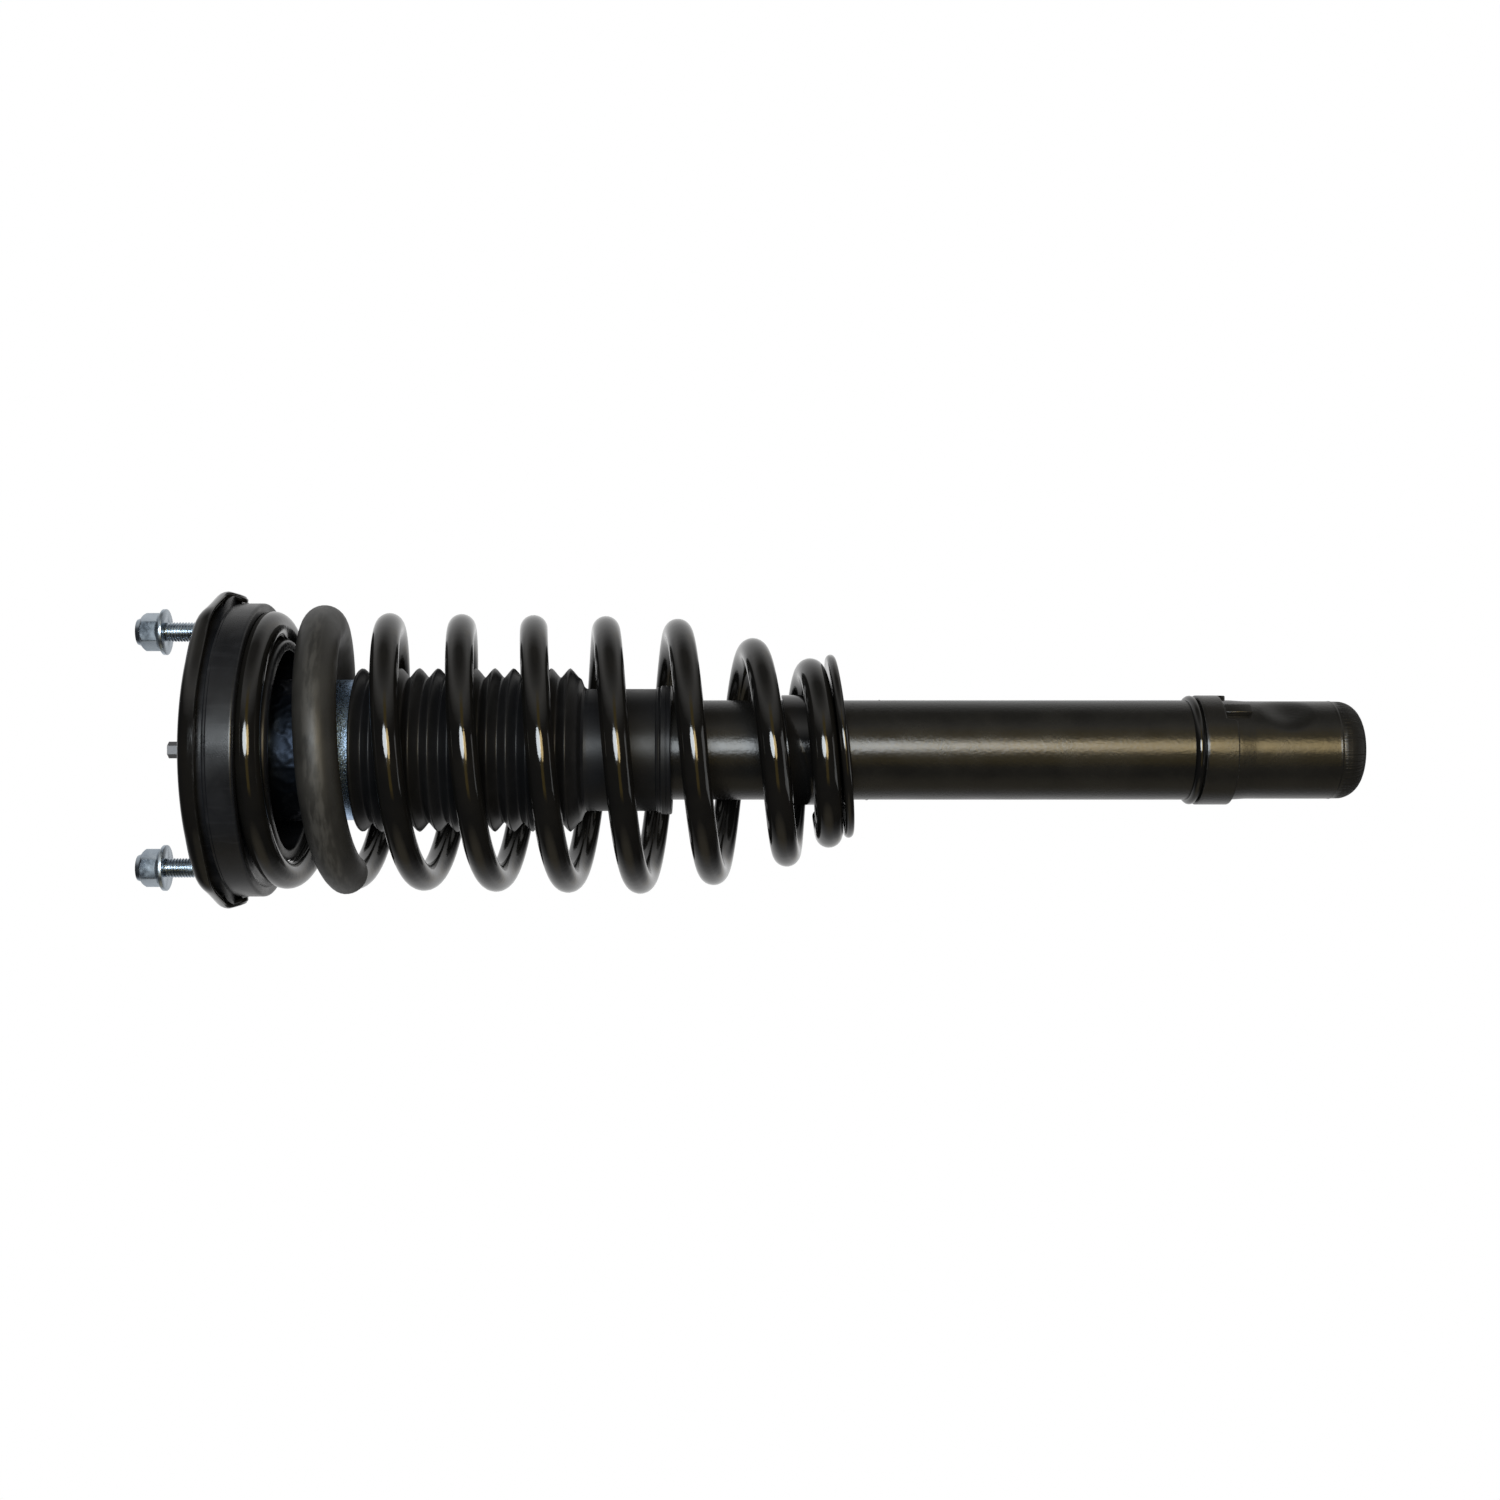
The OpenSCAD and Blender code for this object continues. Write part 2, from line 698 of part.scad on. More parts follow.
module piston_rod() {
    shank_end = piston_z + 2 * discs_h + piston_h + piston_nut_h + thread_over;
    color("#d5d9dc") {
        translate([0, 0, -piston_z]) cylinder(h = piston_z - rod_shoulder, r = rod_r);
        translate([0, 0, -shank_end]) cylinder(h = shank_end - piston_z, r = spigot_r);
        translate([0, 0, -rod_shoulder]) cylinder(h = rod_shoulder + rod_nut_seat, r = rod_thread_r);
        translate([0, 0, -rod_shoulder]) cylinder(h = rod_shoulder + rod_thread_top, r = rod_pitch_r);
        cylinder(h = rod_tip, r = rod_key_r, $fn = 6);
    }
}

module rebound_stop() {
    color("#8d9299")
        ring(rebound_r, rod_r, spigot_end + stop_gap, spigot_end + stop_gap + rebound_h);
}

module piston() {
    top = piston_z + discs_h;
    color("#7f858b")
        difference() {
            ring(piston_r - piston_gap, spigot_r, top, top + piston_h);
            ring(piston_r + cut, piston_r - band_t, top + band_groove, top + piston_h - band_groove);
            for (i = [0:piston_ports - 1])
                rotate([0, 0, 360 * i / piston_ports])
                    translate([(spigot_r + discs_r) / 2, 0, -top - piston_h - cut])
                        cylinder(h = piston_h + 2 * cut, r = piston_port_r);
        }
}

module piston_band() {
    top = piston_z + discs_h;
    color("#3b3a33")
        ring(piston_r, piston_r - band_t, top + band_groove, top + piston_h - band_groove);
}

module compression_discs() {
    color("#6f757b")
        ring(discs_r, spigot_r, piston_z, piston_z + discs_h);
}

module rebound_discs() {
    top = piston_z + discs_h + piston_h;
    color("#6f757b")
        ring(discs_r, spigot_r, top, top + discs_h);
}

module piston_nut() {
    top = piston_z + 2 * discs_h + piston_h;
    color("#a9afb5")
        translate([0, 0, -top - piston_nut_h])
            difference() {
                cylinder(h = piston_nut_h, r = piston_nut_r, $fn = 6);
                translate([0, 0, -cut]) cylinder(h = piston_nut_h + 2 * cut, r = spigot_r);
            }
}

// Outline of the tube's outside, from the rolled top edge to the closed end
module tube_outline() {
    translate([0, -clamp_top]) square([tube_r, clamp_top - tube_top]);
    translate([0, -tube_end + tube_corner]) square([clamp_r, tube_end - tube_corner - clamp_top]);
    translate([0, -tube_end]) square([clamp_r - tube_corner, tube_corner]);
    intersection() {
        translate([clamp_r - tube_corner, -tube_end + tube_corner]) circle(r = tube_corner);
        translate([0, -tube_end]) square([clamp_r, tube_corner]);
    }
}

module tube_bore_outline() {
    corner = tube_corner - tube_t;
    end_r = clamp_r - tube_t;
    translate([0, -tube_floor + corner]) square([end_r, tube_floor - corner - seal_z]);
    translate([0, -clamp_top + tube_t]) square([tube_bore_r, clamp_top - tube_t - seal_z]);
    translate([0, -tube_floor]) square([end_r - corner, corner + cut]);
    intersection() {
        translate([end_r - corner, -tube_floor + corner]) circle(r = corner);
        translate([0, -tube_floor]) square([end_r, corner + cut]);
    }
    translate([0, -seal_z - cut]) square([crimp_r, seal_z + cut - tube_top + cut]);
}

module outer_tube() {
    color("#1c1c1b")
        difference() {
            rotate_extrude()
                difference() {
                    tube_outline();
                    tube_bore_outline();
                }
            rotate([0, 0, dent_angle])
                translate([clamp_r - dent_depth + dent_r, 0, -dent_z])
                    sphere(r = dent_r);
        }
}

module pressure_tube() {
    color("#9aa0a6")
        ring(pressure_r, pressure_bore_r, pressure_top, pressure_end);
}

module rod_guide() {
    color("#8a8f94") {
        ring(tube_bore_r, rod_r + running_gap + bush_t, guide_z, pressure_top);
        ring(piston_r, rod_r + running_gap + bush_t, pressure_top, spigot_end);
    }
}

module guide_bush() {
    color("#6b6250")
        ring(rod_r + running_gap + bush_t, rod_r + running_gap, guide_z + bush_top_inset,
            spigot_end - bush_end_inset);
}

module rod_seal() {
    color("#26282b")
        ring(tube_bore_r, rod_r + running_gap, seal_z, guide_z);
}

module striker_cap() {
    color("#5d6268") {
        ring(cap_r, cap_bore_r, cap_top, tube_top);
        ring(cap_r, tube_r, tube_top, cap_top + cap_h);
    }
}

module base_valve_body() {
    color("#8a8f94")
        difference() {
            union() {
                ring(base_valve_r, base_pin_r, pressure_end, tube_floor - valve_leg_h);
                ring(piston_r, base_pin_r, pressure_end - valve_spigot_h, pressure_end);
                ring(valve_foot_r, valve_foot_bore_r, tube_floor - valve_leg_h, tube_floor);
            }
            for (i = [0:valve_slots - 1])
                rotate([0, 0, 180 * i / valve_slots])
                    translate([-tube_r, -valve_slot_w / 2, -tube_floor - cut])
                        cube([2 * tube_r, valve_slot_w, valve_leg_h / 2]);
        }
}

module base_valve_discs() {
    top = pressure_end - valve_spigot_h;
    color("#6f757b")
        ring(discs_r, base_pin_r, top - discs_h, top);
}

module base_valve_rivet() {
    top = pressure_end - valve_spigot_h - discs_h;
    color("#a9afb5") {
        translate([0, 0, -tube_floor + valve_leg_h])
            cylinder(h = tube_floor - valve_leg_h - top, r = base_pin_r);
        translate([0, 0, -top]) cylinder(h = rivet_head_t, r = rivet_head_r);
        translate([0, 0, -tube_floor + valve_leg_h - rivet_head_t])
            cylinder(h = rivet_head_t, r = rivet_head_r);
    }
}

module on_perch() {
    translate([0, 0, -perch_z]) rotate([0, -perch_tilt, 0]) children();
}

module tube_cut() {
    translate([0, 0, -tube_end]) cylinder(h = tube_end, r = tube_r);
}

module spring_perch() {
    neck_r = tube_r + neck_t;
    color("#131417")
        difference() {
            union() {
                on_perch()
                    translate([perch_shift, 0, 0]) {
                        translate([0, 0, -perch_t]) cylinder(h = perch_t, r = perch_r - perch_bead_r);
                        rotate_extrude()
                            translate([perch_r - perch_bead_r, -perch_bead_r]) circle(r = perch_bead_r);
                    }
                intersection() {
                    translate([0, 0, -perch_z - perch_t]) cylinder(h = neck_h + 2 * perch_t, r = neck_r);
                    on_perch()
                        translate([0, 0, -perch_t / 2]) cylinder(h = neck_h + perch_t / 2, r = 2 * tube_r);
                }
            }
            tube_cut();
        }
}

module perch_weld_bead() {
    color("#222327")
        difference() {
            on_perch()
                rotate_extrude()
                    polygon([[tube_r - weld_root, -perch_t], [tube_r + perch_weld, -perch_t],
                        [tube_r - weld_root, -perch_t - perch_weld - weld_root]]);
            tube_cut();
        }
}

module locating_collar() {
    color("#1a1a19")
        difference() {
            ring(collar_r, tube_r, collar_top, collar_z);
            intersection() {
                ring(collar_r + cut, tube_r - cut, notch_z, collar_z + cut);
                translate([0, 0, -collar_z - cut])
                    linear_extrude(height = notch_h + 2 * cut)
                        polygon([[0, 0], for (a = notch_angles) 2 * collar_r * [cos(a), sin(a)]]);
            }
        }
}

module collar_weld_bead() {
    bead = collar_r - tube_r;
    color("#1f2023")
        rotate_extrude()
            intersection() {
                translate([tube_r, -collar_top]) square([bead, collar_weld_h]);
                union() {
                    translate([tube_r, -collar_top]) square([bead, collar_weld_h - bead]);
                    translate([tube_r, -collar_top + collar_weld_h - bead]) circle(r = bead);
                }
            }
}

module locating_tab() {
    color("#1a1a19")
        rotate([0, 0, tab_angle])
            intersection() {
                ring(collar_r, tube_r, notch_z, collar_z + tab_reach);
                translate([0, -tab_w / 2, -collar_z - tab_reach])
                    cube([2 * collar_r, tab_w, notch_h + tab_reach]);
            }
}

mount_plate();
mount_studs();
flange_nuts();
mount_cup();
mount_rubber();
inner_sleeve();
upper_washer();
lower_washer();
rod_nut();
upper_spring_pad();
coil_spring();
spring_hose();
bump_stop_seat();
bump_stop();
dust_boot();
piston_rod();
rebound_stop();
piston();
piston_band();
compression_discs();
rebound_discs();
piston_nut();
outer_tube();
pressure_tube();
rod_guide();
guide_bush();
rod_seal();
striker_cap();
base_valve_body();
base_valve_discs();
base_valve_rivet();
spring_perch();
perch_weld_bead();
locating_collar();
collar_weld_bead();
locating_tab();
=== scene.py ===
"""Dresses a packed suspension strut: fuller wire, rubber, thread and tube forms, finishes, lights and camera.

Lengths are millimetres in the dataclass fields of the sub-assemblies, and metres in every mesh, finish and
lamp. The damper axis is Z, the studs point up, and each sub-assembly is a class that builds its own pieces
and dresses them.
"""

from __future__ import annotations

import json
import logging
import math
from dataclasses import dataclass
from enum import Enum
from typing import Any, Callable, NamedTuple, Sequence

import bmesh
import bpy
import numpy as np
from mathutils import Matrix, Vector, noise

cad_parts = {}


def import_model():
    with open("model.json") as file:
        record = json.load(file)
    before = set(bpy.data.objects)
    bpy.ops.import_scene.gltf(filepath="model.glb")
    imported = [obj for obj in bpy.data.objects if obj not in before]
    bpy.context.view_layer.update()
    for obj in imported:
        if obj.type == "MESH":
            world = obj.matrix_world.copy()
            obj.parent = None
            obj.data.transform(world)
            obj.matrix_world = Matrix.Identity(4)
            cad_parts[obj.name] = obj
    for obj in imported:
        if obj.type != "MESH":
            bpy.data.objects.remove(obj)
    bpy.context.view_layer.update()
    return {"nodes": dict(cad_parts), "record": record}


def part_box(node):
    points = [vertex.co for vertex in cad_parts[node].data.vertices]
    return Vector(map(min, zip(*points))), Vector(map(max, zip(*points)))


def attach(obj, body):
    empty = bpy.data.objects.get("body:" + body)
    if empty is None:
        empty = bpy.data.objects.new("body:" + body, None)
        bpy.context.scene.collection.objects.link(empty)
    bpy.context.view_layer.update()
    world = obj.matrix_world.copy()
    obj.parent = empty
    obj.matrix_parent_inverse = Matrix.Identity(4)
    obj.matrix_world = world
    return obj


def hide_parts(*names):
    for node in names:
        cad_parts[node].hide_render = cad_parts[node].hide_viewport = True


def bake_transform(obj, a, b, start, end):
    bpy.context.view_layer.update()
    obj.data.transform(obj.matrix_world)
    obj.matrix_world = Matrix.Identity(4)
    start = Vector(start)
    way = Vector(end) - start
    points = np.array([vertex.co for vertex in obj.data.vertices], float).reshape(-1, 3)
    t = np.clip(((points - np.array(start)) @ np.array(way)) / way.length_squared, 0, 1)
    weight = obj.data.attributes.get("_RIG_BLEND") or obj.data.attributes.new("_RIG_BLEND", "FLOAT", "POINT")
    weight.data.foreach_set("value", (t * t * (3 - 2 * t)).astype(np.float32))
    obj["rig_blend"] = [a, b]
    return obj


MM = 0.001
SEED = 7
FULL_TURN = 2 * math.pi
WHITE = (1.0, 1.0, 1.0, 1.0)

# In metres: built points and packed points closer than this are one, and an edge shorter than this is none.
SAME_POINT = 1e-6
SAME_PACKED_POINT = 4e-6
NO_EDGE = 1e-7

# The spring's lower seat, which the spring and the tube share: its depth in mm and its tilt in degrees.
PERCH_Z = 317.6
PERCH_TILT = 6.0

log = logging.getLogger("strut")

Colour = tuple[float, float, float]
Outline = list[tuple[float, float]]
Corner = tuple[float, float, float]
Quad = tuple[int, int, int, int]


class Body(Enum):
    """The two bodies that the slide joins."""

    TOP_MOUNT = "top_mount"
    DAMPER_TUBE = "damper_tube"


class Slot(Enum):
    """The record's material slots."""

    GLOSS_BLACK = "gloss_black_paint"
    SATIN_BLACK = "satin_black_paint"
    ZINC = "zinc_plate"
    GALVANISED = "galvanised_steel"
    RUBBER = "black_rubber"
    HOSE = "hose_rubber"
    BOOT = "boot_elastomer"
    FOAM = "foam_elastomer"
    CHROME = "hard_chrome"
    STEEL = "plain_steel"
    SINTERED = "sintered_iron"
    BRONZE = "bronze"
    PTFE = "filled_ptfe"


class TreeKind(Enum):
    """The kinds of node group."""

    SHADER = "ShaderNodeTree"
    GEOMETRY = "GeometryNodeTree"


class Socket(Enum):
    """The kinds of socket that a node group has."""

    FLOAT = "NodeSocketFloat"
    INT = "NodeSocketInt"
    BOOL = "NodeSocketBool"
    VECTOR = "NodeSocketVector"
    MATERIAL = "NodeSocketMaterial"
    GEOMETRY = "NodeSocketGeometry"


class Wiring:
    """Adds and joins nodes in one shader or geometry tree."""

    def __init__(self, tree: bpy.types.NodeTree) -> None:
        """Keeps the tree that the nodes go in.

        Args:
            tree: The shader or geometry tree.
        """
        self.tree = tree

    def add(self, kind: str, inputs: dict[Any, Any] | None = None, **settings: Any) -> bpy.types.Node:
        """Adds one node.

        Args:
            kind: The node's type name.
            inputs: Input name or number, and the socket or constant that feeds it.
            **settings: The node's own properties.

        Returns:
            The new node.
        """
        node = self.tree.nodes.new(kind)
        for name, value in settings.items():
            setattr(node, name, value)
        for key, value in (inputs or {}).items():
            self.feed(node.inputs[key], value)
        return node

    def feed(self, target: bpy.types.NodeSocket, value: Any) -> None:
        """Joins a socket to an input, or sets the input to a constant.

        Args:
            target: The input.
            value: A socket, or a number, colour or vector.
        """
        if isinstance(value, bpy.types.NodeSocket):
            self.tree.links.new(value, target)
        else:
            target.default_value = value

    def math(self, operation: str, first: Any, second: Any = 0.0) -> bpy.types.NodeSocket:
        """Adds a Math node.

        Args:
            operation: The Math node's operation.
            first: First value or socket.
            second: Second value or socket, for the operations that have one.

        Returns:
            The result's socket.
        """
        return self.add("ShaderNodeMath", {0: first, 1: second}, operation=operation).outputs[0]

    def times(self, first: Any, second: Any) -> bpy.types.NodeSocket:
        """The product of two values."""
        return self.math("MULTIPLY", first, second)

    def plus(self, first: Any, second: Any) -> bpy.types.NodeSocket:
        """The sum of two values."""
        return self.math("ADD", first, second)

    def minus(self, first: Any, second: Any) -> bpy.types.NodeSocket:
        """The first value less the second."""
        return self.math("SUBTRACT", first, second)

    def over(self, first: Any, second: Any) -> bpy.types.NodeSocket:
        """The first value divided by the second."""
        return self.math("DIVIDE", first, second)

    def remap(
        self, value: Any, low: float, high: float, to_low: Any = 0.0, to_high: Any = 1.0
    ) -> bpy.types.NodeSocket:
        """Adds a Map Range node that clamps.

        Args:
            value: The value to map.
            low: Where the input range starts.
            high: Where the input range ends.
            to_low: The result at low.
            to_high: The result at high.

        Returns:
            The result's socket.
        """
        inputs = {"Value": value, "From Min": low, "From Max": high, "To Min": to_low, "To Max": to_high}
        return self.add("ShaderNodeMapRange", inputs).outputs["Result"]

    def window(self, value: Any, rise: tuple[float, float], fall: tuple[float, float]) -> bpy.types.NodeSocket:
        """A mask that rises from 0 to 1 over one range and falls back to 0 over another.

        Args:
            value: The value to map.
            rise: Where the mask starts to rise, and where it is full.
            fall: Where it starts to fall, and where it is gone.

        Returns:
            The mask's socket.
        """
        return self.times(self.remap(value, *rise), self.remap(value, *fall, 1.0, 0.0))

    def grain(self, place: Any, scale: Any, detail: float) -> bpy.types.NodeSocket:
        """Adds a noise texture.

        Args:
            place: Where it is read.
            scale: Its scale.
            detail: Its detail.

        Returns:
            The noise's socket.
        """
        inputs = {"Vector": place, "Scale": scale, "Detail": detail}
        return self.add("ShaderNodeTexNoise", inputs).outputs["Fac"]

    def split(self, place: Any) -> Any:
        """The X, Y and Z sockets of a vector."""
        return self.add("ShaderNodeSeparateXYZ", {0: place}).outputs

    def across(self, spot: Any, operation: str) -> bpy.types.Node:
        """Drops a place onto the plane across the damper axis, and runs a vector operation on it.

        Args:
            spot: The place's X, Y and Z sockets.
            operation: The Vector Math node's operation.

        Returns:
            The Vector Math node.
        """
        flat = self.add("ShaderNodeCombineXYZ", {"X": spot["X"], "Y": spot["Y"]})
        return self.add("ShaderNodeVectorMath", {0: flat.outputs[0]}, operation=operation)

    def blend_colours(self, share: Any, first: Any, second: Any) -> bpy.types.NodeSocket:
        """Mixes two colours.

        Args:
            share: How much of the second colour shows.
            first: First colour or socket.
            second: Second colour or socket.

        Returns:
            The mixed colour's socket.
        """
        node = self.add("ShaderNodeMix", data_type="RGBA")
        for number, value in ((0, share), (6, first), (7, second)):
            self.feed(node.inputs[number], rgba(value) if isinstance(value, tuple) else value)
        return node.outputs[2]


def rgba(colour: Sequence[float]) -> tuple[float, ...]:
    """A colour with its alpha of 1."""
    return (*colour[:3], 1.0)


class OpenGroup(NamedTuple):
    """A node group that is being wired: its tree, its wiring, and the sockets that it is given and puts out."""

    tree: bpy.types.NodeTree
    wiring: Wiring
    given: Any
    result: Any


def open_group(
    name: str,
    kind: TreeKind,
    inputs: Sequence[tuple[str, Socket, Any]],
    outputs: Sequence[tuple[str, Socket]],
) -> OpenGroup:
    """Starts a node group with named inputs and outputs.

    Args:
        name: The group's name.
        kind: Shader or geometry.
        inputs: Name, socket type and default of each input.
        outputs: Name and socket type of each output.

    Returns:
        The group, ready for its nodes.
    """
    tree = bpy.data.node_groups.new(name, kind.value)
    for label, socket, default in inputs:
        made = tree.interface.new_socket(name=label, in_out="INPUT", socket_type=socket.value)
        if default is not None:
            made.default_value = default
    for label, socket in outputs:
        tree.interface.new_socket(name=label, in_out="OUTPUT", socket_type=socket.value)
    wiring = Wiring(tree)
    return OpenGroup(tree, wiring, wiring.add("NodeGroupInput").outputs, wiring.add("NodeGroupOutput").inputs)


class SharedEffects:
    """Shader node groups for the effects that several finishes use."""

    def __init__(self) -> None:
        """Builds each group once."""
        self.mottle = self._mottle()
        self.peel = self._peel()
        self.wear = self._wear()
        self.turned = self._turned()

    @staticmethod
    def _mottle() -> bpy.types.NodeTree:
        """Soft patches between two values.

        Returns:
            The group, with inputs Vector, Scale, Low and High and output Value.
        """
        tree, w, given, result = open_group(
            "Soft mottle",
            TreeKind.SHADER,
            [
                ("Vector", Socket.VECTOR, None),
                ("Scale", Socket.FLOAT, 60.0),
                ("Low", Socket.FLOAT, 0.0),
                ("High", Socket.FLOAT, 1.0),
            ],
            [("Value", Socket.FLOAT)],
        )
        patches = w.add(
            "ShaderNodeTexNoise",
            {"Vector": given["Vector"], "Scale": given["Scale"], "Detail": 5.0, "Roughness": 0.6},
        )
        w.feed(result["Value"], w.remap(patches.outputs["Fac"], 0.36, 0.64, given["Low"], given["High"]))
        return tree

    @staticmethod
    def _peel() -> bpy.types.NodeTree:
        """The uneven skin of sprayed or dipped paint: a coarse wave with a finer one on it.

        Returns:
            The group, with inputs Vector and Scale and output Height.
        """
        tree, w, given, result = open_group(
            "Orange peel",
            TreeKind.SHADER,
            [("Vector", Socket.VECTOR, None), ("Scale", Socket.FLOAT, 700.0)],
            [("Height", Socket.FLOAT)],
        )
        coarse = w.grain(given["Vector"], given["Scale"], 1.5)
        fine = w.grain(given["Vector"], w.times(given["Scale"], 3.7), 2.0)
        w.feed(result["Height"], w.plus(coarse, w.times(fine, 0.35)))
        return tree

    @staticmethod
    def _wear() -> bpy.types.NodeTree:
        """Rubbed edges, broken up by grain.

        Returns:
            The group, with inputs Vector, Radius and Scale and output Mask.
        """
        tree, w, given, result = open_group(
            "Edge wear",
            TreeKind.SHADER,
            [
                ("Vector", Socket.VECTOR, None),
                ("Radius", Socket.FLOAT, 0.0006),
                ("Scale", Socket.FLOAT, 400.0),
            ],
            [("Mask", Socket.FLOAT)],
        )
        soft = w.add("ShaderNodeBevel", {"Radius": given["Radius"]}, samples=4)
        flat = w.add("ShaderNodeNewGeometry")
        normals = {0: soft.outputs[0], 1: flat.outputs["Normal"]}
        close = w.add("ShaderNodeVectorMath", normals, operation="DOT_PRODUCT")
        edge = w.remap(close.outputs["Value"], 0.995, 0.90)
        patchy = w.remap(w.grain(given["Vector"], given["Scale"], 3.0), 0.42, 0.62, 0.15, 1.0)
        w.feed(result["Mask"], w.times(edge, patchy))
        return tree

    @staticmethod
    def _turned() -> bpy.types.NodeTree:
        """Fine rings left by turning, grinding or drawing along the axis.

        Returns:
            The group, with inputs Vector, Pitch and Waver and output Height.
        """
        tree, w, given, result = open_group(
            "Turned rings",
            TreeKind.SHADER,
            [
                ("Vector", Socket.VECTOR, None),
                ("Pitch", Socket.FLOAT, 0.0004),
                ("Waver", Socket.FLOAT, 0.3),
            ],
            [("Height", Socket.FLOAT)],
        )
        ring = w.over(w.split(given["Vector"])["Z"], given["Pitch"])
        drift = w.times(w.grain(given["Vector"], 160.0, 3.0), given["Waver"])
        lines = w.add(
            "ShaderNodeTexNoise", {"W": w.plus(ring, drift), "Scale": 1.0, "Detail": 3.0}, noise_dimensions="1D"
        )
        w.feed(result["Height"], lines.outputs["Fac"])
        return tree


def cleared(owner: Any) -> Wiring:
    """Turns nodes on in a material or world and empties its tree.

    Args:
        owner: The material or world.

    Returns:
        The empty tree's wiring.
    """
    owner.use_nodes = True
    owner.node_tree.nodes.clear()
    return Wiring(owner.node_tree)


class Coating:
    """A material that is being wired: its shader, its place on the piece and the shared effects."""

    def __init__(self, name: str, effects: SharedEffects) -> None:
        """Starts the material with its shader.

        Args:
            name: The material's name.
            effects: The shared shader groups.
        """
        self.made = bpy.data.materials.new(name)
        self.effects = effects
        self.wiring = cleared(self.made)
        self.place = self.wiring.add("ShaderNodeTexCoord").outputs["Object"]
        self.shader = self.wiring.add("ShaderNodeBsdfPrincipled")
        end = self.wiring.add("ShaderNodeOutputMaterial", {"Surface": self.shader.outputs[0]})
        end.is_active_output = True

    def set(self, name: str, value: Any) -> None:
        """Feeds one of the shader's inputs."""
        self.wiring.feed(self.shader.inputs[name], value)

    def fed(self, name: str) -> bpy.types.NodeSocket:
        """The socket that feeds one of the shader's inputs so far."""
        return self.shader.inputs[name].links[0].from_socket

    def effect(self, tree: bpy.types.NodeTree, **inputs: Any) -> bpy.types.NodeSocket:
        """Places a shared group on object coordinates.

        Args:
            tree: The group.
            **inputs: Values or sockets by input name.

        Returns:
            The group's first output.
        """
        node = self.wiring.add("ShaderNodeGroup", node_tree=tree)
        for name, value in {"Vector": self.place, **inputs}.items():
            self.wiring.feed(node.inputs[name], value)
        return node.outputs[0]

    def tint(self, share: Any, colour: Colour) -> None:
        """Mixes a colour over what the surface shows so far.

        Args:
            share: How much of the colour shows.
            colour: The colour.
        """
        self.set("Base Color", self.wiring.blend_colours(share, self.fed("Base Color"), colour))

    def emboss(self, *heights: tuple[Any, float]) -> None:
        """Chains Bump nodes into the shader's normal.

        Args:
            *heights: Height socket and depth in metres of each layer.
        """
        normal = None
        for height, depth in heights:
            bump = self.wiring.add("ShaderNodeBump", {"Height": height, "Distance": depth, "Strength": 1.0})
            if normal is not None:
                self.wiring.feed(bump.inputs["Normal"], normal)
            normal = bump.outputs["Normal"]
        self.set("Normal", normal)


@dataclass(frozen=True)
class Finish:
    """A surface finish: its record slot, colour and gloss, and how they vary over the surface.

    Attributes:
        gloss: Roughness where the colour shows, and where the pale colour does.
        patch_scale: Scale of the patches between the two colours.
    """

    slot: Slot
    colour: Colour
    pale: Colour
    gloss: tuple[float, float]
    patch_scale: float = 45.0
    metallic: float = 0.0
    specular: float = 0.5

    def material(self, effects: SharedEffects) -> bpy.types.Material:
        """Builds the finish's material.

        Args:
            effects: The shared shader groups.

        Returns:
            The material, named after its slot.
        """
        coat = Coating(self.slot.value, effects)
        coat.set("Metallic", self.metallic)
        coat.set("Specular IOR Level", self.specular)
        patches = coat.effect(effects.mottle, Scale=self.patch_scale)
        coat.set("Base Color", coat.wiring.blend_colours(patches, self.colour, self.pale))
        coat.set("Roughness", coat.wiring.remap(patches, 0.0, 1.0, *self.gloss))
        self.detail(coat)
        return coat.made

    def detail(self, coat: Coating) -> None:
        """Adds what sets this kind of finish apart.

        Args:
            coat: The material that is being wired.
        """


@dataclass(frozen=True)
class Paint(Finish):
    """Black paint with orange peel, rubbed a little on its edges.

    Attributes:
        rubbed: How much of the worn colour shows on the edges.
        spun_end: Height in metres under which closing the tube's end left lines, or 0 for none.
        spun_dull: Roughness that the lines add.
        spun_shine: The share of the specular level that is left there.
    """

    peel_scale: float = 700.0
    peel_depth: float = 0.00003
    worn: Colour = (0.10, 0.10, 0.105)
    rubbed: float = 0.35
    spun_end: float = 0.0
    spun_fade: float = 0.002
    spun_scale: float = 30.0
    spun_depth: float = 0.0006
    spun_dull: float = 0.16
    spun_shine: float = 0.3

    def detail(self, coat: Coating) -> None:
        """Adds the peel, the rubbed edges and, past a depth, the lines that closing the tube's end left.

        Args:
            coat: The material that is being wired.
        """
        w = coat.wiring
        coat.tint(w.times(coat.effect(coat.effects.wear), self.rubbed), self.worn)
        heights = [(coat.effect(coat.effects.peel, Scale=self.peel_scale), self.peel_depth)]
        if self.spun_end < 0:
            spot = w.split(coat.place)
            spoke = w.across(spot, "NORMALIZE").outputs["Vector"]
            closed = w.remap(spot["Z"], self.spun_end, self.spun_end - self.spun_fade)
            heights.append((w.times(w.grain(spoke, self.spun_scale, 1.0), closed), self.spun_depth))
            coat.set("Roughness", w.plus(coat.fed("Roughness"), w.times(closed, self.spun_dull)))
            shine = w.remap(closed, 0.0, 1.0, self.specular, self.spun_shine * self.specular)
            coat.set("Specular IOR Level", shine)
        coat.emboss(*heights)


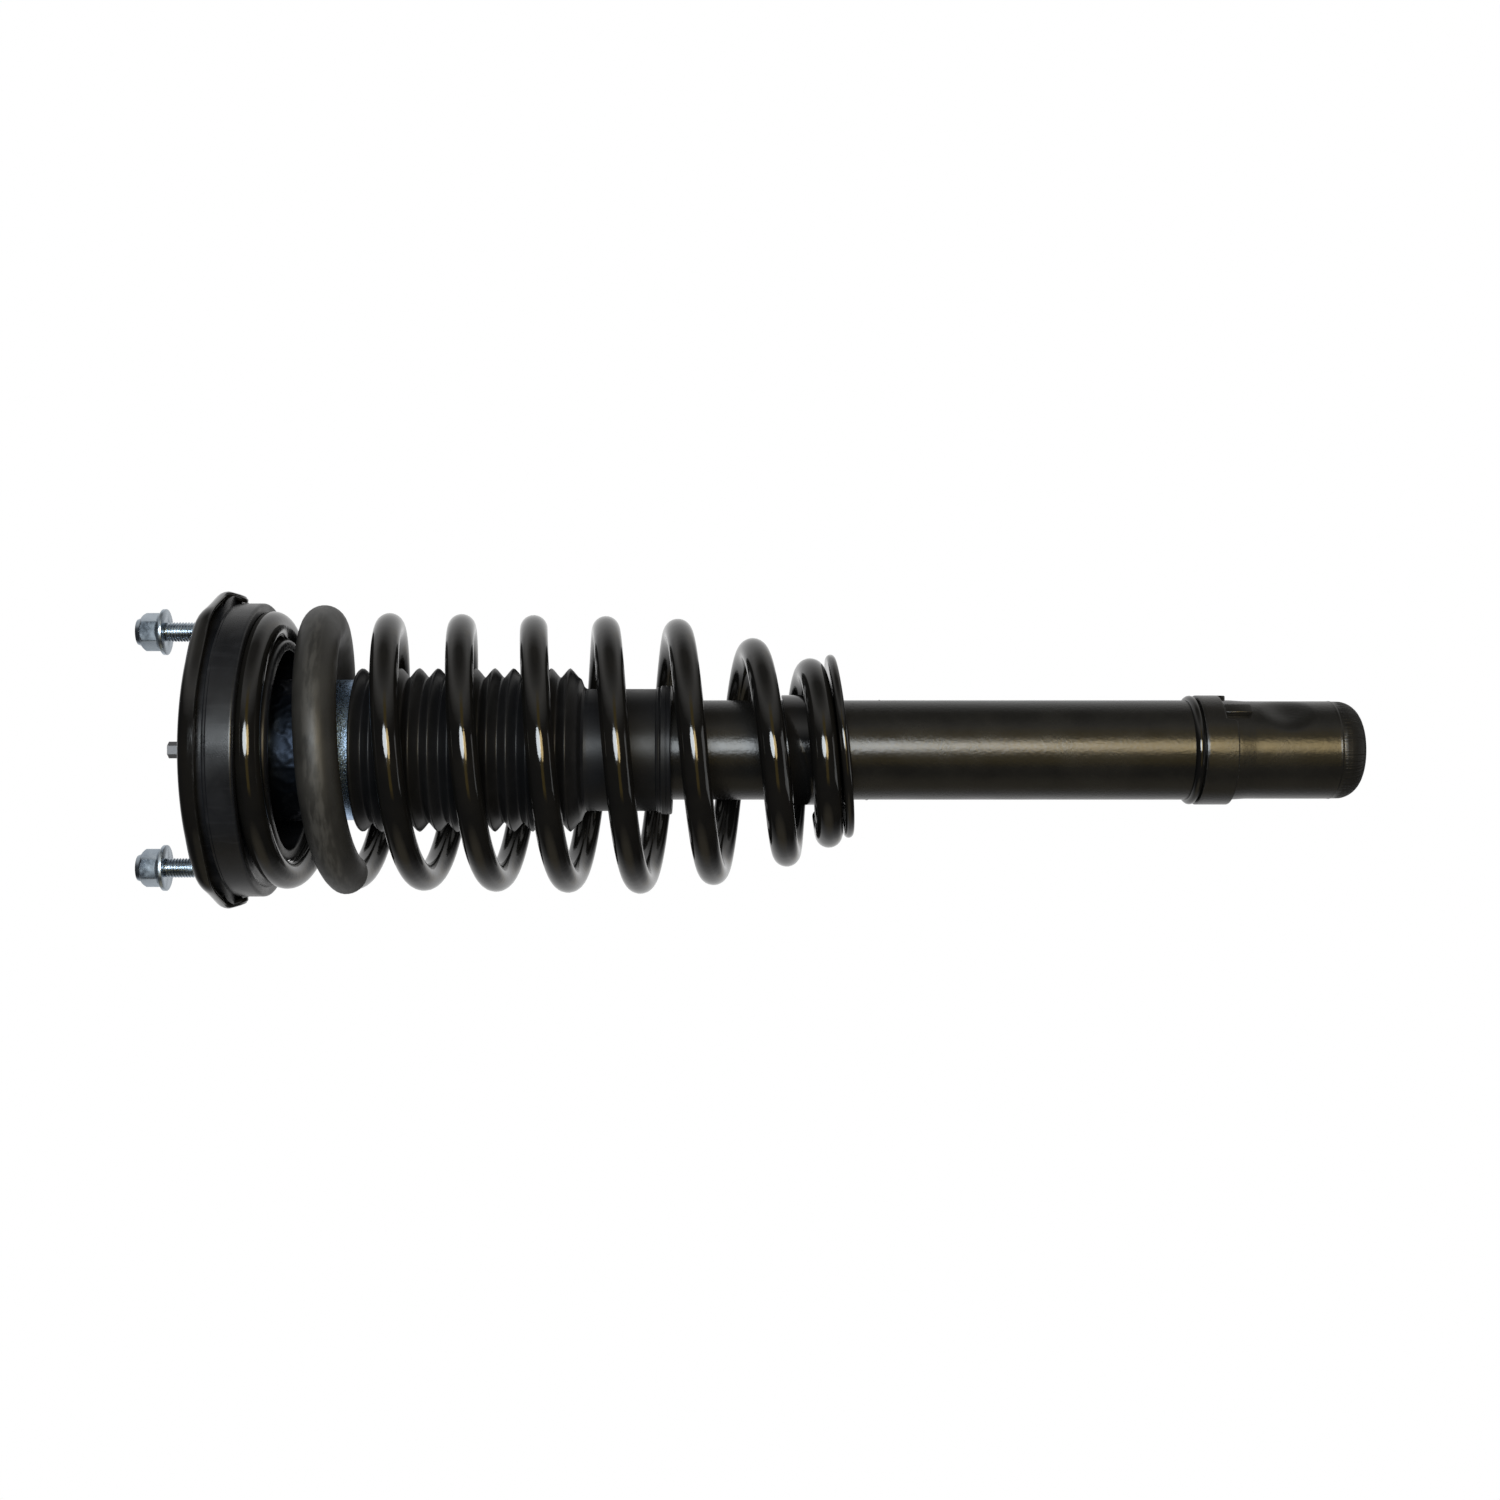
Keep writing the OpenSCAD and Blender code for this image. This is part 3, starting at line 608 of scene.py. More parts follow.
@dataclass(frozen=True)
class Metal(Finish):
    """Bare or plated metal with rings from turning and a fine grain.

    Attributes:
        bare_above: Height in metres above which the steel is unplated.
        bare_gloss: Roughness of the unplated steel.
    """

    pitch: float = 0.0004
    ring_depth: float = 0.000004
    grain_scale: float = 900.0
    grain_depth: float = 0.000004
    bare_above: float = math.inf
    bare_fade: float = 0.0005
    bare: Colour = (0.13, 0.13, 0.135)
    bare_gloss: float = 0.5

    def detail(self, coat: Coating) -> None:
        """Adds rings and grain, and leaves the steel unplated above a height.

        Args:
            coat: The material that is being wired.
        """
        w = coat.wiring
        if math.isfinite(self.bare_above):
            bare = w.remap(w.split(coat.place)["Z"], self.bare_above, self.bare_above + self.bare_fade)
            coat.tint(bare, self.bare)
            coat.set("Roughness", w.remap(bare, 0.0, 1.0, coat.fed("Roughness"), self.bare_gloss))
        rings = coat.effect(coat.effects.turned, Pitch=self.pitch)
        grain = coat.effect(coat.effects.peel, Scale=self.grain_scale)
        coat.emboss((rings, self.ring_depth), (grain, self.grain_depth))


@dataclass(frozen=True)
class Spangle(Finish):
    """Hot-dip galvanising with its crystals, painted dark as shade on its upper part down to a depth.

    Attributes:
        crystal_bright: How much of the pale colour the brightest crystal shows.
        crystal_tilt: Depth in metres of the bump that tilts the crystals.
        shade_film_end: Height in metres of the lower edge of the painted shade.
    """

    crystal_scale: float = 2000.0
    crystal_bright: float = 0.75
    crystal_tilt: float = 0.000018
    grain_scale: float = 1500.0
    grain_depth: float = 0.000004
    # Painted shade: the cup's upper part, which lies in shade under the pad and the coil, is painted dark and
    # given its own roughness.
    shade_film: Colour = (0.013, 0.017, 0.025)
    shade_film_gloss: float = 0.42
    shade_film_end: float = -0.0560
    shade_film_fade: float = 0.0006

    def detail(self, coat: Coating) -> None:
        """Gives each crystal its own brightness, gloss and tilt, and paints the upper part dark as painted
        shade.

        Args:
            coat: The material that is being wired.
        """
        w = coat.wiring
        cells = {"Vector": coat.place, "Scale": self.crystal_scale, "Randomness": 1.0}
        cell = w.add("ShaderNodeTexVoronoi", cells).outputs["Color"]
        bright, dull, tilt = w.add("ShaderNodeSeparateColor", {0: cell}).outputs
        # Painted shade: the share of the dark colour, full above the lower edge and none below it.
        painted_shade_share = w.remap(w.split(coat.place)["Z"], self.shade_film_end, self.shade_film_end + self.shade_film_fade)
        coat.tint(w.remap(bright, 0.0, 1.0, 0.0, self.crystal_bright), self.pale)
        coat.tint(painted_shade_share, self.shade_film)
        gloss = w.remap(dull, 0.0, 1.0, *self.gloss)
        coat.set("Roughness", w.remap(painted_shade_share, 0.0, 1.0, gloss, self.shade_film_gloss))
        leaning = w.times(tilt, w.minus(1.0, painted_shade_share))
        grain = coat.effect(coat.effects.peel, Scale=self.grain_scale)
        coat.emboss((leaning, self.crystal_tilt), (grain, self.grain_depth))


@dataclass(frozen=True)
class Rubber(Finish):
    """Moulded rubber with a fine skin and scuffs.

    Attributes:
        scuff: How much of the scuff colour shows at most.
        scuff_stretch: Scale of the scuffs along X, Y and Z.
        rub_radius: Radius in metres that is rubbed all over, or 0 for none.
    """

    grain_scale: float = 1400.0
    grain_depth: float = 0.00002
    streak_depth: float = 0.00001
    scuff: float = 0.25
    scuff_colour: Colour = (0.12, 0.12, 0.125)
    scuff_stretch: tuple[float, float, float] = (260.0, 260.0, 30.0)
    rub_radius: float = 0.0
    rub_fade: float = 0.0012

    def detail(self, coat: Coating) -> None:
        """Adds grain and scuffs, and rubs what stands out as far as the rub radius.

        Args:
            coat: The material that is being wired.
        """
        w = coat.wiring
        drawn = w.add("ShaderNodeMapping", {"Vector": coat.place, "Scale": self.scuff_stretch})
        streaks = w.grain(drawn.outputs[0], 1.0, 4.0)
        share = w.remap(streaks, 0.56, 0.72, 0.0, self.scuff)
        if self.rub_radius > 0:
            reach = w.across(w.split(coat.place), "LENGTH").outputs["Value"]
            crest = w.remap(reach, self.rub_radius - self.rub_fade, self.rub_radius)
            share = w.math("MAXIMUM", share, w.times(crest, w.remap(streaks, 0.42, 0.6, 0.1, 1.0)))
        coat.tint(share, self.scuff_colour)
        grain = coat.effect(coat.effects.peel, Scale=self.grain_scale)
        coat.emboss((streaks, self.streak_depth), (grain, self.grain_depth))


@dataclass(frozen=True)
class Foam(Finish):
    """Closed-cell foam."""

    cell_scale: float = 900.0
    cell_depth: float = 0.0001
    pit_shade_colour: Colour = (0.25, 0.20, 0.10)

    def detail(self, coat: Coating) -> None:
        """Adds the cells, with painted shade in their pits.

        Args:
            coat: The material that is being wired.
        """
        cells = {"Vector": coat.place, "Scale": self.cell_scale}
        depth = coat.wiring.add("ShaderNodeTexVoronoi", cells).outputs["Distance"]
        # Painted shade: the pits at the cells' middles are tinted darker.
        coat.tint(coat.wiring.remap(depth, 0.0, 0.25, 0.6, 0.0), self.pit_shade_colour)
        coat.emboss((depth, self.cell_depth))


# Slot, colour, paler patches, and roughness from the first to the second, then what differs from the kind.
FINISHES: tuple[Finish, ...] = (
    Paint(
        Slot.GLOSS_BLACK, (0.0042, 0.0041, 0.004), (0.006, 0.0056, 0.005), (0.07, 0.12),
        specular=0.45, peel_scale=240.0, peel_depth=0.00004, worn=(0.03, 0.03, 0.031),
    ),
    Paint(
        Slot.SATIN_BLACK, (0.0065, 0.0062, 0.0057), (0.0095, 0.009, 0.008), (0.22, 0.28),
        specular=0.3, peel_scale=620.0, peel_depth=0.00007, spun_end=-0.5712,
    ),
    Metal(
        Slot.ZINC, (0.33, 0.39, 0.46), (0.52, 0.59, 0.66), (0.22, 0.36),
        patch_scale=120.0, metallic=1.0,
    ),
    Spangle(
        Slot.GALVANISED, (0.25, 0.37, 0.54), (0.54, 0.73, 1.0), (0.20, 0.38),
        patch_scale=60.0, metallic=1.0,
    ),
    Rubber(
        Slot.RUBBER, (0.0045, 0.0048, 0.0058), (0.008, 0.0086, 0.0105), (0.24, 0.36),
        specular=0.27, scuff_colour=(0.026, 0.027, 0.031),
    ),
    Rubber(
        Slot.HOSE, (0.012, 0.0117, 0.011), (0.0165, 0.016, 0.0148), (0.42, 0.56),
        specular=0.33, scuff=0.12, scuff_colour=(0.034, 0.033, 0.031),
        scuff_stretch=(90.0, 90.0, 420.0), rub_radius=0.0742,
    ),
    Rubber(
        Slot.BOOT, (0.0050, 0.0051, 0.0056), (0.0072, 0.0073, 0.008), (0.34, 0.44),
        specular=0.17, scuff=0.1, scuff_colour=(0.02, 0.02, 0.021),
    ),
    Foam(Slot.FOAM, (0.52, 0.42, 0.22), (0.62, 0.52, 0.30), (0.75, 0.9)),
    Metal(
        Slot.CHROME, (0.42, 0.43, 0.44), (0.52, 0.53, 0.54), (0.2, 0.3),
        patch_scale=90.0, metallic=1.0, ring_depth=0.000001, grain_depth=0.000001, bare_above=0.0,
    ),
    Metal(
        Slot.STEEL, (0.40, 0.41, 0.42), (0.52, 0.53, 0.54), (0.3, 0.45),
        patch_scale=80.0, metallic=1.0,
    ),
    Metal(
        Slot.SINTERED, (0.20, 0.20, 0.20), (0.34, 0.34, 0.33), (0.5, 0.7),
        patch_scale=700.0, metallic=1.0, grain_scale=1300.0, grain_depth=0.00003,
    ),
    Metal(
        Slot.BRONZE, (0.48, 0.34, 0.17), (0.62, 0.46, 0.25), (0.3, 0.45),
        patch_scale=120.0, metallic=1.0,
    ),
    Rubber(Slot.PTFE, (0.13, 0.12, 0.095), (0.18, 0.165, 0.13), (0.4, 0.55)),
)  # fmt: skip


class FinishBook:
    """Builds each finish's material once and gives it out by slot."""

    def __init__(self, finishes: Sequence[Finish]) -> None:
        """Builds the materials.

        Args:
            finishes: All finishes, one for each slot.
        """
        effects = SharedEffects()
        self._made = {finish.slot: finish.material(effects) for finish in finishes}

    def of(self, slot: Slot) -> bpy.types.Material:
        """The material of a slot."""
        return self._made[slot]

    def dress(self, piece: bpy.types.Object, slot: Slot) -> None:
        """Gives a built piece its finish as its only material.

        Args:
            piece: The piece.
            slot: Its record slot.
        """
        piece.data.materials.clear()
        piece.data.materials.append(self.of(slot))

    def dress_node(self, node: bpy.types.Object, slot: Slot) -> None:
        """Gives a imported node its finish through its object's slots.

        Args:
            node: The node's object.
            slot: Its record slot.
        """
        if not node.material_slots:
            node.data.materials.append(None)
        for place in node.material_slots:
            place.link = "OBJECT"
            place.material = self.of(slot)


def new_piece(name: str, mesh: bpy.types.Mesh) -> bpy.types.Object:
    """Puts a mesh in the scene as a piece at the origin.

    Args:
        name: The piece's name.
        mesh: Its mesh.

    Returns:
        The piece.
    """
    piece = bpy.data.objects.new(name, mesh)
    bpy.context.scene.collection.objects.link(piece)
    return piece


def shaded(mesh: bpy.types.Mesh, smooth_deg: float) -> bpy.types.Mesh:
    """Shades a mesh smooth, apart from its sharp edges.

    Args:
        mesh: The mesh.
        smooth_deg: Edges sharper than this stay sharp.

    Returns:
        The same mesh.
    """
    mesh.shade_smooth()
    mesh.set_sharp_from_angle(angle=math.radians(smooth_deg))
    return mesh


def mesh_of(name: str, points: np.ndarray, faces: Sequence[Quad], smooth_deg: float) -> bpy.types.Mesh:
    """Makes a closed, outward-facing mesh.

    Args:
        name: The mesh's name.
        points: N by 3 array of positions in metres.
        faces: Corner numbers of each face.
        smooth_deg: Edges sharper than this stay sharp.

    Returns:
        The mesh, with seams and poles merged.
    """
    mesh = bpy.data.meshes.new(name)
    mesh.from_pydata([tuple(p) for p in points], [], faces)
    work = bmesh.new()
    work.from_mesh(mesh)
    bmesh.ops.remove_doubles(work, verts=work.verts, dist=SAME_POINT)
    bmesh.ops.dissolve_degenerate(work, edges=work.edges, dist=NO_EDGE)
    bmesh.ops.recalc_face_normals(work, faces=work.faces)
    work.to_mesh(mesh)
    work.free()
    return shaded(mesh, smooth_deg)


def filleted(corners: Sequence[Corner], steps: int = 5) -> Outline:
    """Rounds the corners of a closed outline, with at most half of each side taken up by a fillet.

    Args:
        corners: Radius, height and fillet of each corner, in mm.
        steps: Straight pieces in each fillet.

    Returns:
        The outline, in mm.
    """
    made: Outline = []
    count = len(corners)
    for i, (x, y, size) in enumerate(corners):
        here = Vector((x, y))
        before = Vector(corners[i - 1][:2]) - here
        after = Vector(corners[(i + 1) % count][:2]) - here
        if size <= 0 or before.length < 1e-6 or after.length < 1e-6:
            made.append((x, y))
            continue
        turn = before.angle(after)
        reach = min(size / math.tan(turn / 2), before.length * 0.49, after.length * 0.49)
        start, end = here + before.normalized() * reach, here + after.normalized() * reach
        for k in range(steps + 1):
            t = k / steps
            point = start * (1 - t) ** 2 + here * (2 * t * (1 - t)) + end * t**2
            made.append((point.x, point.y))
    return made


def held(outline: Outline, reach: float = 0.35) -> Outline:
    """Adds a point near each end of every long stretch, so that a flat stays flat up to its corner.

    Args:
        outline: Radius and height of each point, in mm.
        reach: How far from the corner each new point is, in mm.

    Returns:
        The closed outline with its new points.
    """
    made: Outline = []
    for i, (x, y) in enumerate(outline):
        here, after = Vector((x, y)), Vector(outline[(i + 1) % len(outline)])
        made.append((x, y))
        step = (after - here).normalized() * reach
        if (after - here).length > 4 * reach:
            made += [(spot.x, spot.y) for spot in (here + step, after - step) if spot.x > 2 * reach]
    return made


def around(columns: int) -> np.ndarray:
    """Angles in radians, evenly round the axis."""
    return np.linspace(0.0, FULL_TURN, columns, endpoint=False)


def ring_faces(columns: int, rows: int) -> list[Quad]:
    """The faces between closed sections set round the axis.

    Args:
        columns: Sections round the axis.
        rows: Points in each section.

    Returns:
        Four corner numbers a face.
    """
    made: list[Quad] = []
    for c in range(columns):
        here, beside = c * rows, (c + 1) % columns * rows
        for r in range(rows):
            above = (r + 1) % rows
            made.append((here + r, here + above, beside + above, beside + r))
    return made


def wrapped(
    name: str, angles: np.ndarray, section: Sequence[tuple[Any, Any]], smooth_deg: float = 35.0
) -> bpy.types.Object:
    """Closes a shell round the axis from a section that may change on its way.

    Args:
        name: The piece's name.
        angles: Where each copy of the section stands, in radians.
        section: Radius and height of each point in mm, as plain numbers or as one value for each angle.
        smooth_deg: Edges sharper than this stay sharp.

    Returns:
        The piece.
    """
    rows = [(np.zeros_like(angles) + r * MM, np.zeros_like(angles) + z * MM) for r, z in section]
    points = np.stack([np.stack([r * np.cos(angles), r * np.sin(angles), z], axis=-1) for r, z in rows], axis=1)
    faces = ring_faces(len(angles), len(rows))
    return new_piece(name, mesh_of(name, points.reshape(-1, 3), faces, smooth_deg))


def lathe(name: str, outline: Outline, columns: int, smooth_deg: float = 35.0) -> bpy.types.Object:
    """Turns a closed outline round the axis.

    Args:
        name: The piece's name.
        outline: Radius and height of each point, in mm.
        columns: Steps round the axis.
        smooth_deg: Edges sharper than this stay sharp.

    Returns:
        The piece.
    """
    return wrapped(name, around(columns), held(outline), smooth_deg)


def eased(share: Any) -> Any:
    """A share from 0 to 1, slowed down at both ends."""
    return share * share * (3 - 2 * share)


def pushed(piece: bpy.types.Object, push: Callable[[Vector, float], float]) -> bpy.types.Object:
    """Moves the points of a piece straight away from the axis, or towards it.

    Args:
        piece: The piece.
        push: Gives a point's move outwards in mm, from its place in metres and its radius in mm.

    Returns:
        The same piece.
    """
    for vertex in piece.data.vertices:
        flat = math.hypot(vertex.co.x, vertex.co.y)
        move = push(vertex.co, flat / MM)
        if move:
            grow = 1.0 + move * MM / flat
            vertex.co.x *= grow
            vertex.co.y *= grow
    return piece


def add_bevel(piece: bpy.types.Object, name: str, width: float, sharp_deg: float) -> None:
    """Adds a bevel of two segments.

    Args:
        piece: The piece.
        name: The modifier's name.
        width: The bevel's width in mm.
        sharp_deg: Edges sharper than this are rounded.
    """
    edge = piece.modifiers.new(name, "BEVEL")
    edge.width = width * MM
    edge.segments = 2
    edge.limit_method = "ANGLE"
    edge.angle_limit = math.radians(sharp_deg)


def baked(piece: bpy.types.Object) -> bpy.types.Object:
    """Turns a piece's modifiers into a plain mesh.

    Args:
        piece: The piece.

    Returns:
        The same piece, with no modifier left.
    """
    graph = bpy.context.evaluated_depsgraph_get()
    graph.update()
    seen = piece.evaluated_get(graph)
    mesh = bpy.data.meshes.new_from_object(seen, preserve_all_data_layers=True, depsgraph=graph)
    piece.modifiers.clear()
    piece.data = mesh
    return piece


def grown(piece: bpy.types.Object, tree: bpy.types.NodeTree, values: dict[str, Any]) -> bpy.types.Object:
    """Runs a geometry tree on a piece and keeps the result as a plain mesh.

    Args:
        piece: The piece whose mesh the tree starts from.
        tree: The geometry tree.
        values: The tree's inputs by name.

    Returns:
        The same piece.
    """
    modifier = piece.modifiers.new(tree.name, "NODES")
    modifier.node_group = tree
    for item in tree.interface.items_tree:
        if item.item_type == "SOCKET" and item.in_out == "INPUT" and item.name in values:
            modifier[item.identifier] = values[item.name]
    return baked(piece)


def rounded_copy(node: str, name: str, bevel: float) -> bpy.types.Object:
    """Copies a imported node's mesh, merges it, and rounds its edges.

    Args:
        node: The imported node.
        name: The new piece's name.
        bevel: Width of the rounding in mm.

    Returns:
        The rounded piece.
    """
    mesh = bpy.data.meshes.new(name)
    work = bmesh.new()
    work.from_mesh(bpy.data.objects[node].data)
    bmesh.ops.remove_doubles(work, verts=work.verts, dist=SAME_PACKED_POINT)
    one_flat = math.radians(0.4)
    bmesh.ops.dissolve_limit(work, angle_limit=one_flat, verts=work.verts, edges=work.edges, delimit={"NORMAL"})
    work.to_mesh(mesh)
    work.free()
    mesh.shade_smooth()
    piece = new_piece(name, mesh)
    add_bevel(piece, "edges", bevel, 34.0)
    baked(piece)
    shaded(piece.data, 50.0)
    return piece


def joined(name: str, parts: Sequence[bpy.types.Object]) -> bpy.types.Object:
    """Joins plain pieces into one.

    Args:
        name: The new piece's name.
        parts: The pieces, which are removed.

    Returns:
        The joined piece.
    """
    work = bmesh.new()
    for part in parts:
        work.from_mesh(part.data)
        bpy.data.objects.remove(part)
    mesh = bpy.data.meshes.new(name)
    work.to_mesh(mesh)
    work.free()
    return new_piece(name, shaded(mesh, 55.0))


class GeometryTrees:
    """Geometry Nodes trees for what repeats or follows a path or a rule."""

    def __init__(self) -> None:
        """Builds each tree once."""
        self.wire = self._wire()
        self.thread = self._thread()
        self.bellows = self._bellows()
        self.spatter = self._spatter()

    @staticmethod
    def _open(name: str, inputs: Sequence[tuple[str, Socket, Any]]) -> OpenGroup:
        """Starts a tree that takes a geometry, its own inputs and a material, and puts out a geometry.

        Args:
            name: The tree's name.
            inputs: Name, socket type and default of each input of its own.

        Returns:
            The tree, ready for its nodes.
        """
        first, last = ("Geometry", Socket.GEOMETRY, None), ("Material", Socket.MATERIAL, None)
        return open_group(name, TreeKind.GEOMETRY, [first, *inputs, last], [("Geometry", Socket.GEOMETRY)])

    @staticmethod
    def _close(group: OpenGroup, geometry: Any, smooth: bool = True) -> bpy.types.NodeTree:
        """Ends a tree in smooth shading, Realize Instances and Set Material.

        Args:
            group: The tree.
            geometry: What it made.
            smooth: Whether its faces are shaded smooth.

        Returns:
            The finished tree.
        """
        tree, w, given, result = group
        if smooth:
            inputs = {"Geometry": geometry, "Shade Smooth": True}
            geometry = w.add("GeometryNodeSetShadeSmooth", inputs).outputs[0]
        real = w.add("GeometryNodeRealizeInstances", {"Geometry": geometry})
        done = w.add("GeometryNodeSetMaterial", {"Geometry": real.outputs[0], "Material": given["Material"]})
        w.feed(result["Geometry"], done.outputs[0])
        return tree

    def _wire(self) -> bpy.types.NodeTree:
        """A round wire along a path of points, with its own swell at each point.

        Returns:
            The tree.
        """
        group = self._open(
            "Round wire along a path",
            [
                ("Wire Radius", Socket.FLOAT, 0.007),
                ("Sides", Socket.INT, 24),
                ("Closed Ends", Socket.BOOL, True),
            ],
        )
        w, given = group.wiring, group.given
        path = w.add("GeometryNodeMeshToCurve", {"Mesh": given["Geometry"]})
        swell = w.add("GeometryNodeInputNamedAttribute", {"Name": "swell"}, data_type="FLOAT")
        sized = w.add("GeometryNodeSetCurveRadius", {"Curve": path.outputs[0], "Radius": swell.outputs[0]})
        circle = {"Resolution": given["Sides"], "Radius": given["Wire Radius"]}
        profile = w.add("GeometryNodeCurvePrimitiveCircle", circle)
        sweep = {
            "Curve": sized.outputs[0],
            "Profile Curve": profile.outputs[0],
            "Fill Caps": given["Closed Ends"],
        }
        return self._close(group, w.add("GeometryNodeCurveToMesh", sweep).outputs[0])

    def _thread(self) -> bpy.types.NodeTree:
        """A threaded rod: a cylinder whose radius follows the helix of a thread.

        Returns:
            The tree.
        """
        group = self._open(
            "Threaded rod",
            [
                ("Major Radius", Socket.FLOAT, 0.005),
                ("Thread Depth", Socket.FLOAT, 0.0008),
                ("Pitch", Socket.FLOAT, 0.0015),
                ("Length", Socket.FLOAT, 0.03),
                ("Chamfer", Socket.FLOAT, 0.0008),
                ("Foot", Socket.VECTOR, (0.0, 0.0, 0.0)),
                ("Columns", Socket.INT, 48),
                ("Rows", Socket.INT, 160),
            ],
        )
        w, given = group.wiring, group.given
        cylinder = {
            "Vertices": given["Columns"],
            "Side Segments": given["Rows"],
            "Radius": given["Major Radius"],
            "Depth": given["Length"],
        }
        rod = w.add("GeometryNodeMeshCylinder", cylinder, fill_type="NGON")
        spot = w.split(w.add("GeometryNodeInputPosition").outputs[0])
        height = w.plus(spot["Z"], w.times(given["Length"], 0.5))
        turn = w.over(w.math("ARCTAN2", spot["Y"], spot["X"]), FULL_TURN)
        phase = w.math("FRACT", w.minus(w.over(height, given["Pitch"]), turn))
        ridge = w.times(w.math("ABSOLUTE", w.minus(phase, 0.5)), 2.0)
        depth = w.times(w.remap(ridge, 0.12, 0.88), given["Thread Depth"])
        cut = w.minus(given["Major Radius"], depth)
        taper = w.plus(w.minus(given["Major Radius"], given["Chamfer"]), w.minus(given["Length"], height))
        share = w.over(w.math("MINIMUM", cut, taper), given["Major Radius"])
        place = {"X": w.times(spot["X"], share), "Y": w.times(spot["Y"], share), "Z": height}
        moved = w.add("ShaderNodeCombineXYZ", place).outputs[0]
        shaped = w.add("GeometryNodeSetPosition", {"Geometry": rod.outputs["Mesh"], "Position": moved})
        placed = w.add("GeometryNodeSetPosition", {"Geometry": shaped.outputs[0], "Offset": given["Foot"]})
        return self._close(group, placed.outputs[0])

    def _bellows(self) -> bpy.types.NodeTree:
        """Ribs pushed out of a plain sleeve at an even pitch, with straight sides and a rounded crest and foot.

        Returns:
            The tree.
        """
        group = self._open(
            "Bellows ribs",
            [
                ("First Rib", Socket.FLOAT, -0.0758),
                ("Pitch", Socket.FLOAT, 0.00965),
                ("Rib Count", Socket.INT, 12),
                ("Upper Face", Socket.FLOAT, -0.1),
                ("Rib Height", Socket.FLOAT, 0.005),
            ],
        )
        w, given = group.wiring, group.given
        spot = w.split(w.add("GeometryNodeInputPosition").outputs[0])
        along = w.over(w.minus(given["First Rib"], spot["Z"]), given["Pitch"])
        past_face = w.math("GREATER_THAN", along, given["Upper Face"])
        inside = w.times(past_face, w.math("LESS_THAN", along, w.minus(given["Rib Count"], 0.5)))
        fold = w.math("PINGPONG", w.plus(along, 100.0), 0.5)
        straight = w.minus(1.0, w.times(fold, 2.0))
        curved = w.add("ShaderNodeMapRange", {"Value": straight}, interpolation_type="SMOOTHSTEP")
        wave = w.plus(w.times(straight, 0.62), w.times(curved.outputs["Result"], 0.38))
        outward = w.across(spot, "NORMALIZE")
        offset = w.add("ShaderNodeVectorMath", {0: outward.outputs[0]}, operation="SCALE")
        w.feed(offset.inputs["Scale"], w.times(w.times(wave, inside), given["Rib Height"]))
        move = {"Geometry": given["Geometry"], "Offset": offset.outputs[0]}
        return self._close(group, w.add("GeometryNodeSetPosition", move).outputs[0])

    def _spatter(self) -> bpy.types.NodeTree:
        """Small beads of weld spatter scattered over a surface, the smallest about a third of the largest.

        Returns:
            The tree.
        """
        group = self._open(
            "Weld spatter",
            [
                ("Density", Socket.FLOAT, 4000.0),
                ("Largest", Socket.FLOAT, 0.0007),
                ("Seed", Socket.INT, SEED),
            ],
        )
        w, given = group.wiring, group.given
        spread = {"Mesh": given["Geometry"], "Density": given["Density"], "Seed": given["Seed"]}
        points = w.add("GeometryNodeDistributePointsOnFaces", spread)
        size = w.add("FunctionNodeRandomValue", data_type="FLOAT")
        for key, value in ((2, 0.35), (3, 1.0), ("Seed", given["Seed"])):
            w.feed(size.inputs[key], value)
        bead = w.add("GeometryNodeMeshIcoSphere", {"Radius": given["Largest"], "Subdivisions": 2})
        beads = {"Points": points.outputs["Points"], "Instance": bead.outputs[0], "Scale": size.outputs[1]}
        return self._close(group, w.add("GeometryNodeInstanceOnPoints", beads).outputs[0], smooth=False)


@dataclass
class SubAssembly:
    """What every sub-assembly shares: the finishes, the trees and its body."""

    book: FinishBook
    trees: GeometryTrees
    body: Body = Body.TOP_MOUNT

    def attach(self, piece: bpy.types.Object) -> str:
        """Lets a finished piece ride on the sub-assembly's body.

        Args:
            piece: The piece.

        Returns:
            How the piece moves, in words.
        """
        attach(piece, self.body.value)
        return f"rides on {self.body.value}"

    @staticmethod
    def blend(piece: bpy.types.Object, top: float, foot: float, shares: np.ndarray) -> None:
        """Blends a piece from the top mount to the damper tube, each point by its own share of the stroke.

        Args:
            piece: The piece.
            top: Height in metres of the end that stays with the top mount.
            foot: Height in metres of the end that goes with the tube.
            shares: Each point's share of the stroke.
        """
        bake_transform(piece, Body.TOP_MOUNT.value, Body.DAMPER_TUBE.value, start=(0, 0, top), end=(0, 0, foot))
        layer = piece.data.attributes["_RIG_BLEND"].data
        layer.foreach_set("value", np.clip(shares, 0, 1).astype(np.float32))

    def settle(self, piece: bpy.types.Object, slot: Slot, *nodes: str) -> bpy.types.Object:
        """Dresses a finished piece, attaches it, and says what it stands for.

        Args:
            piece: The piece.
            slot: Its finish.
            *nodes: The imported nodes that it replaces.

        Returns:
            The piece.
        """
        self.book.dress(piece, slot)
        moves = self.attach(piece)
        if nodes:
            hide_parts(*nodes)
        log.info("%s: %d faces, %s, %s", piece.name, len(piece.data.polygons), slot.value, moves)
        return piece


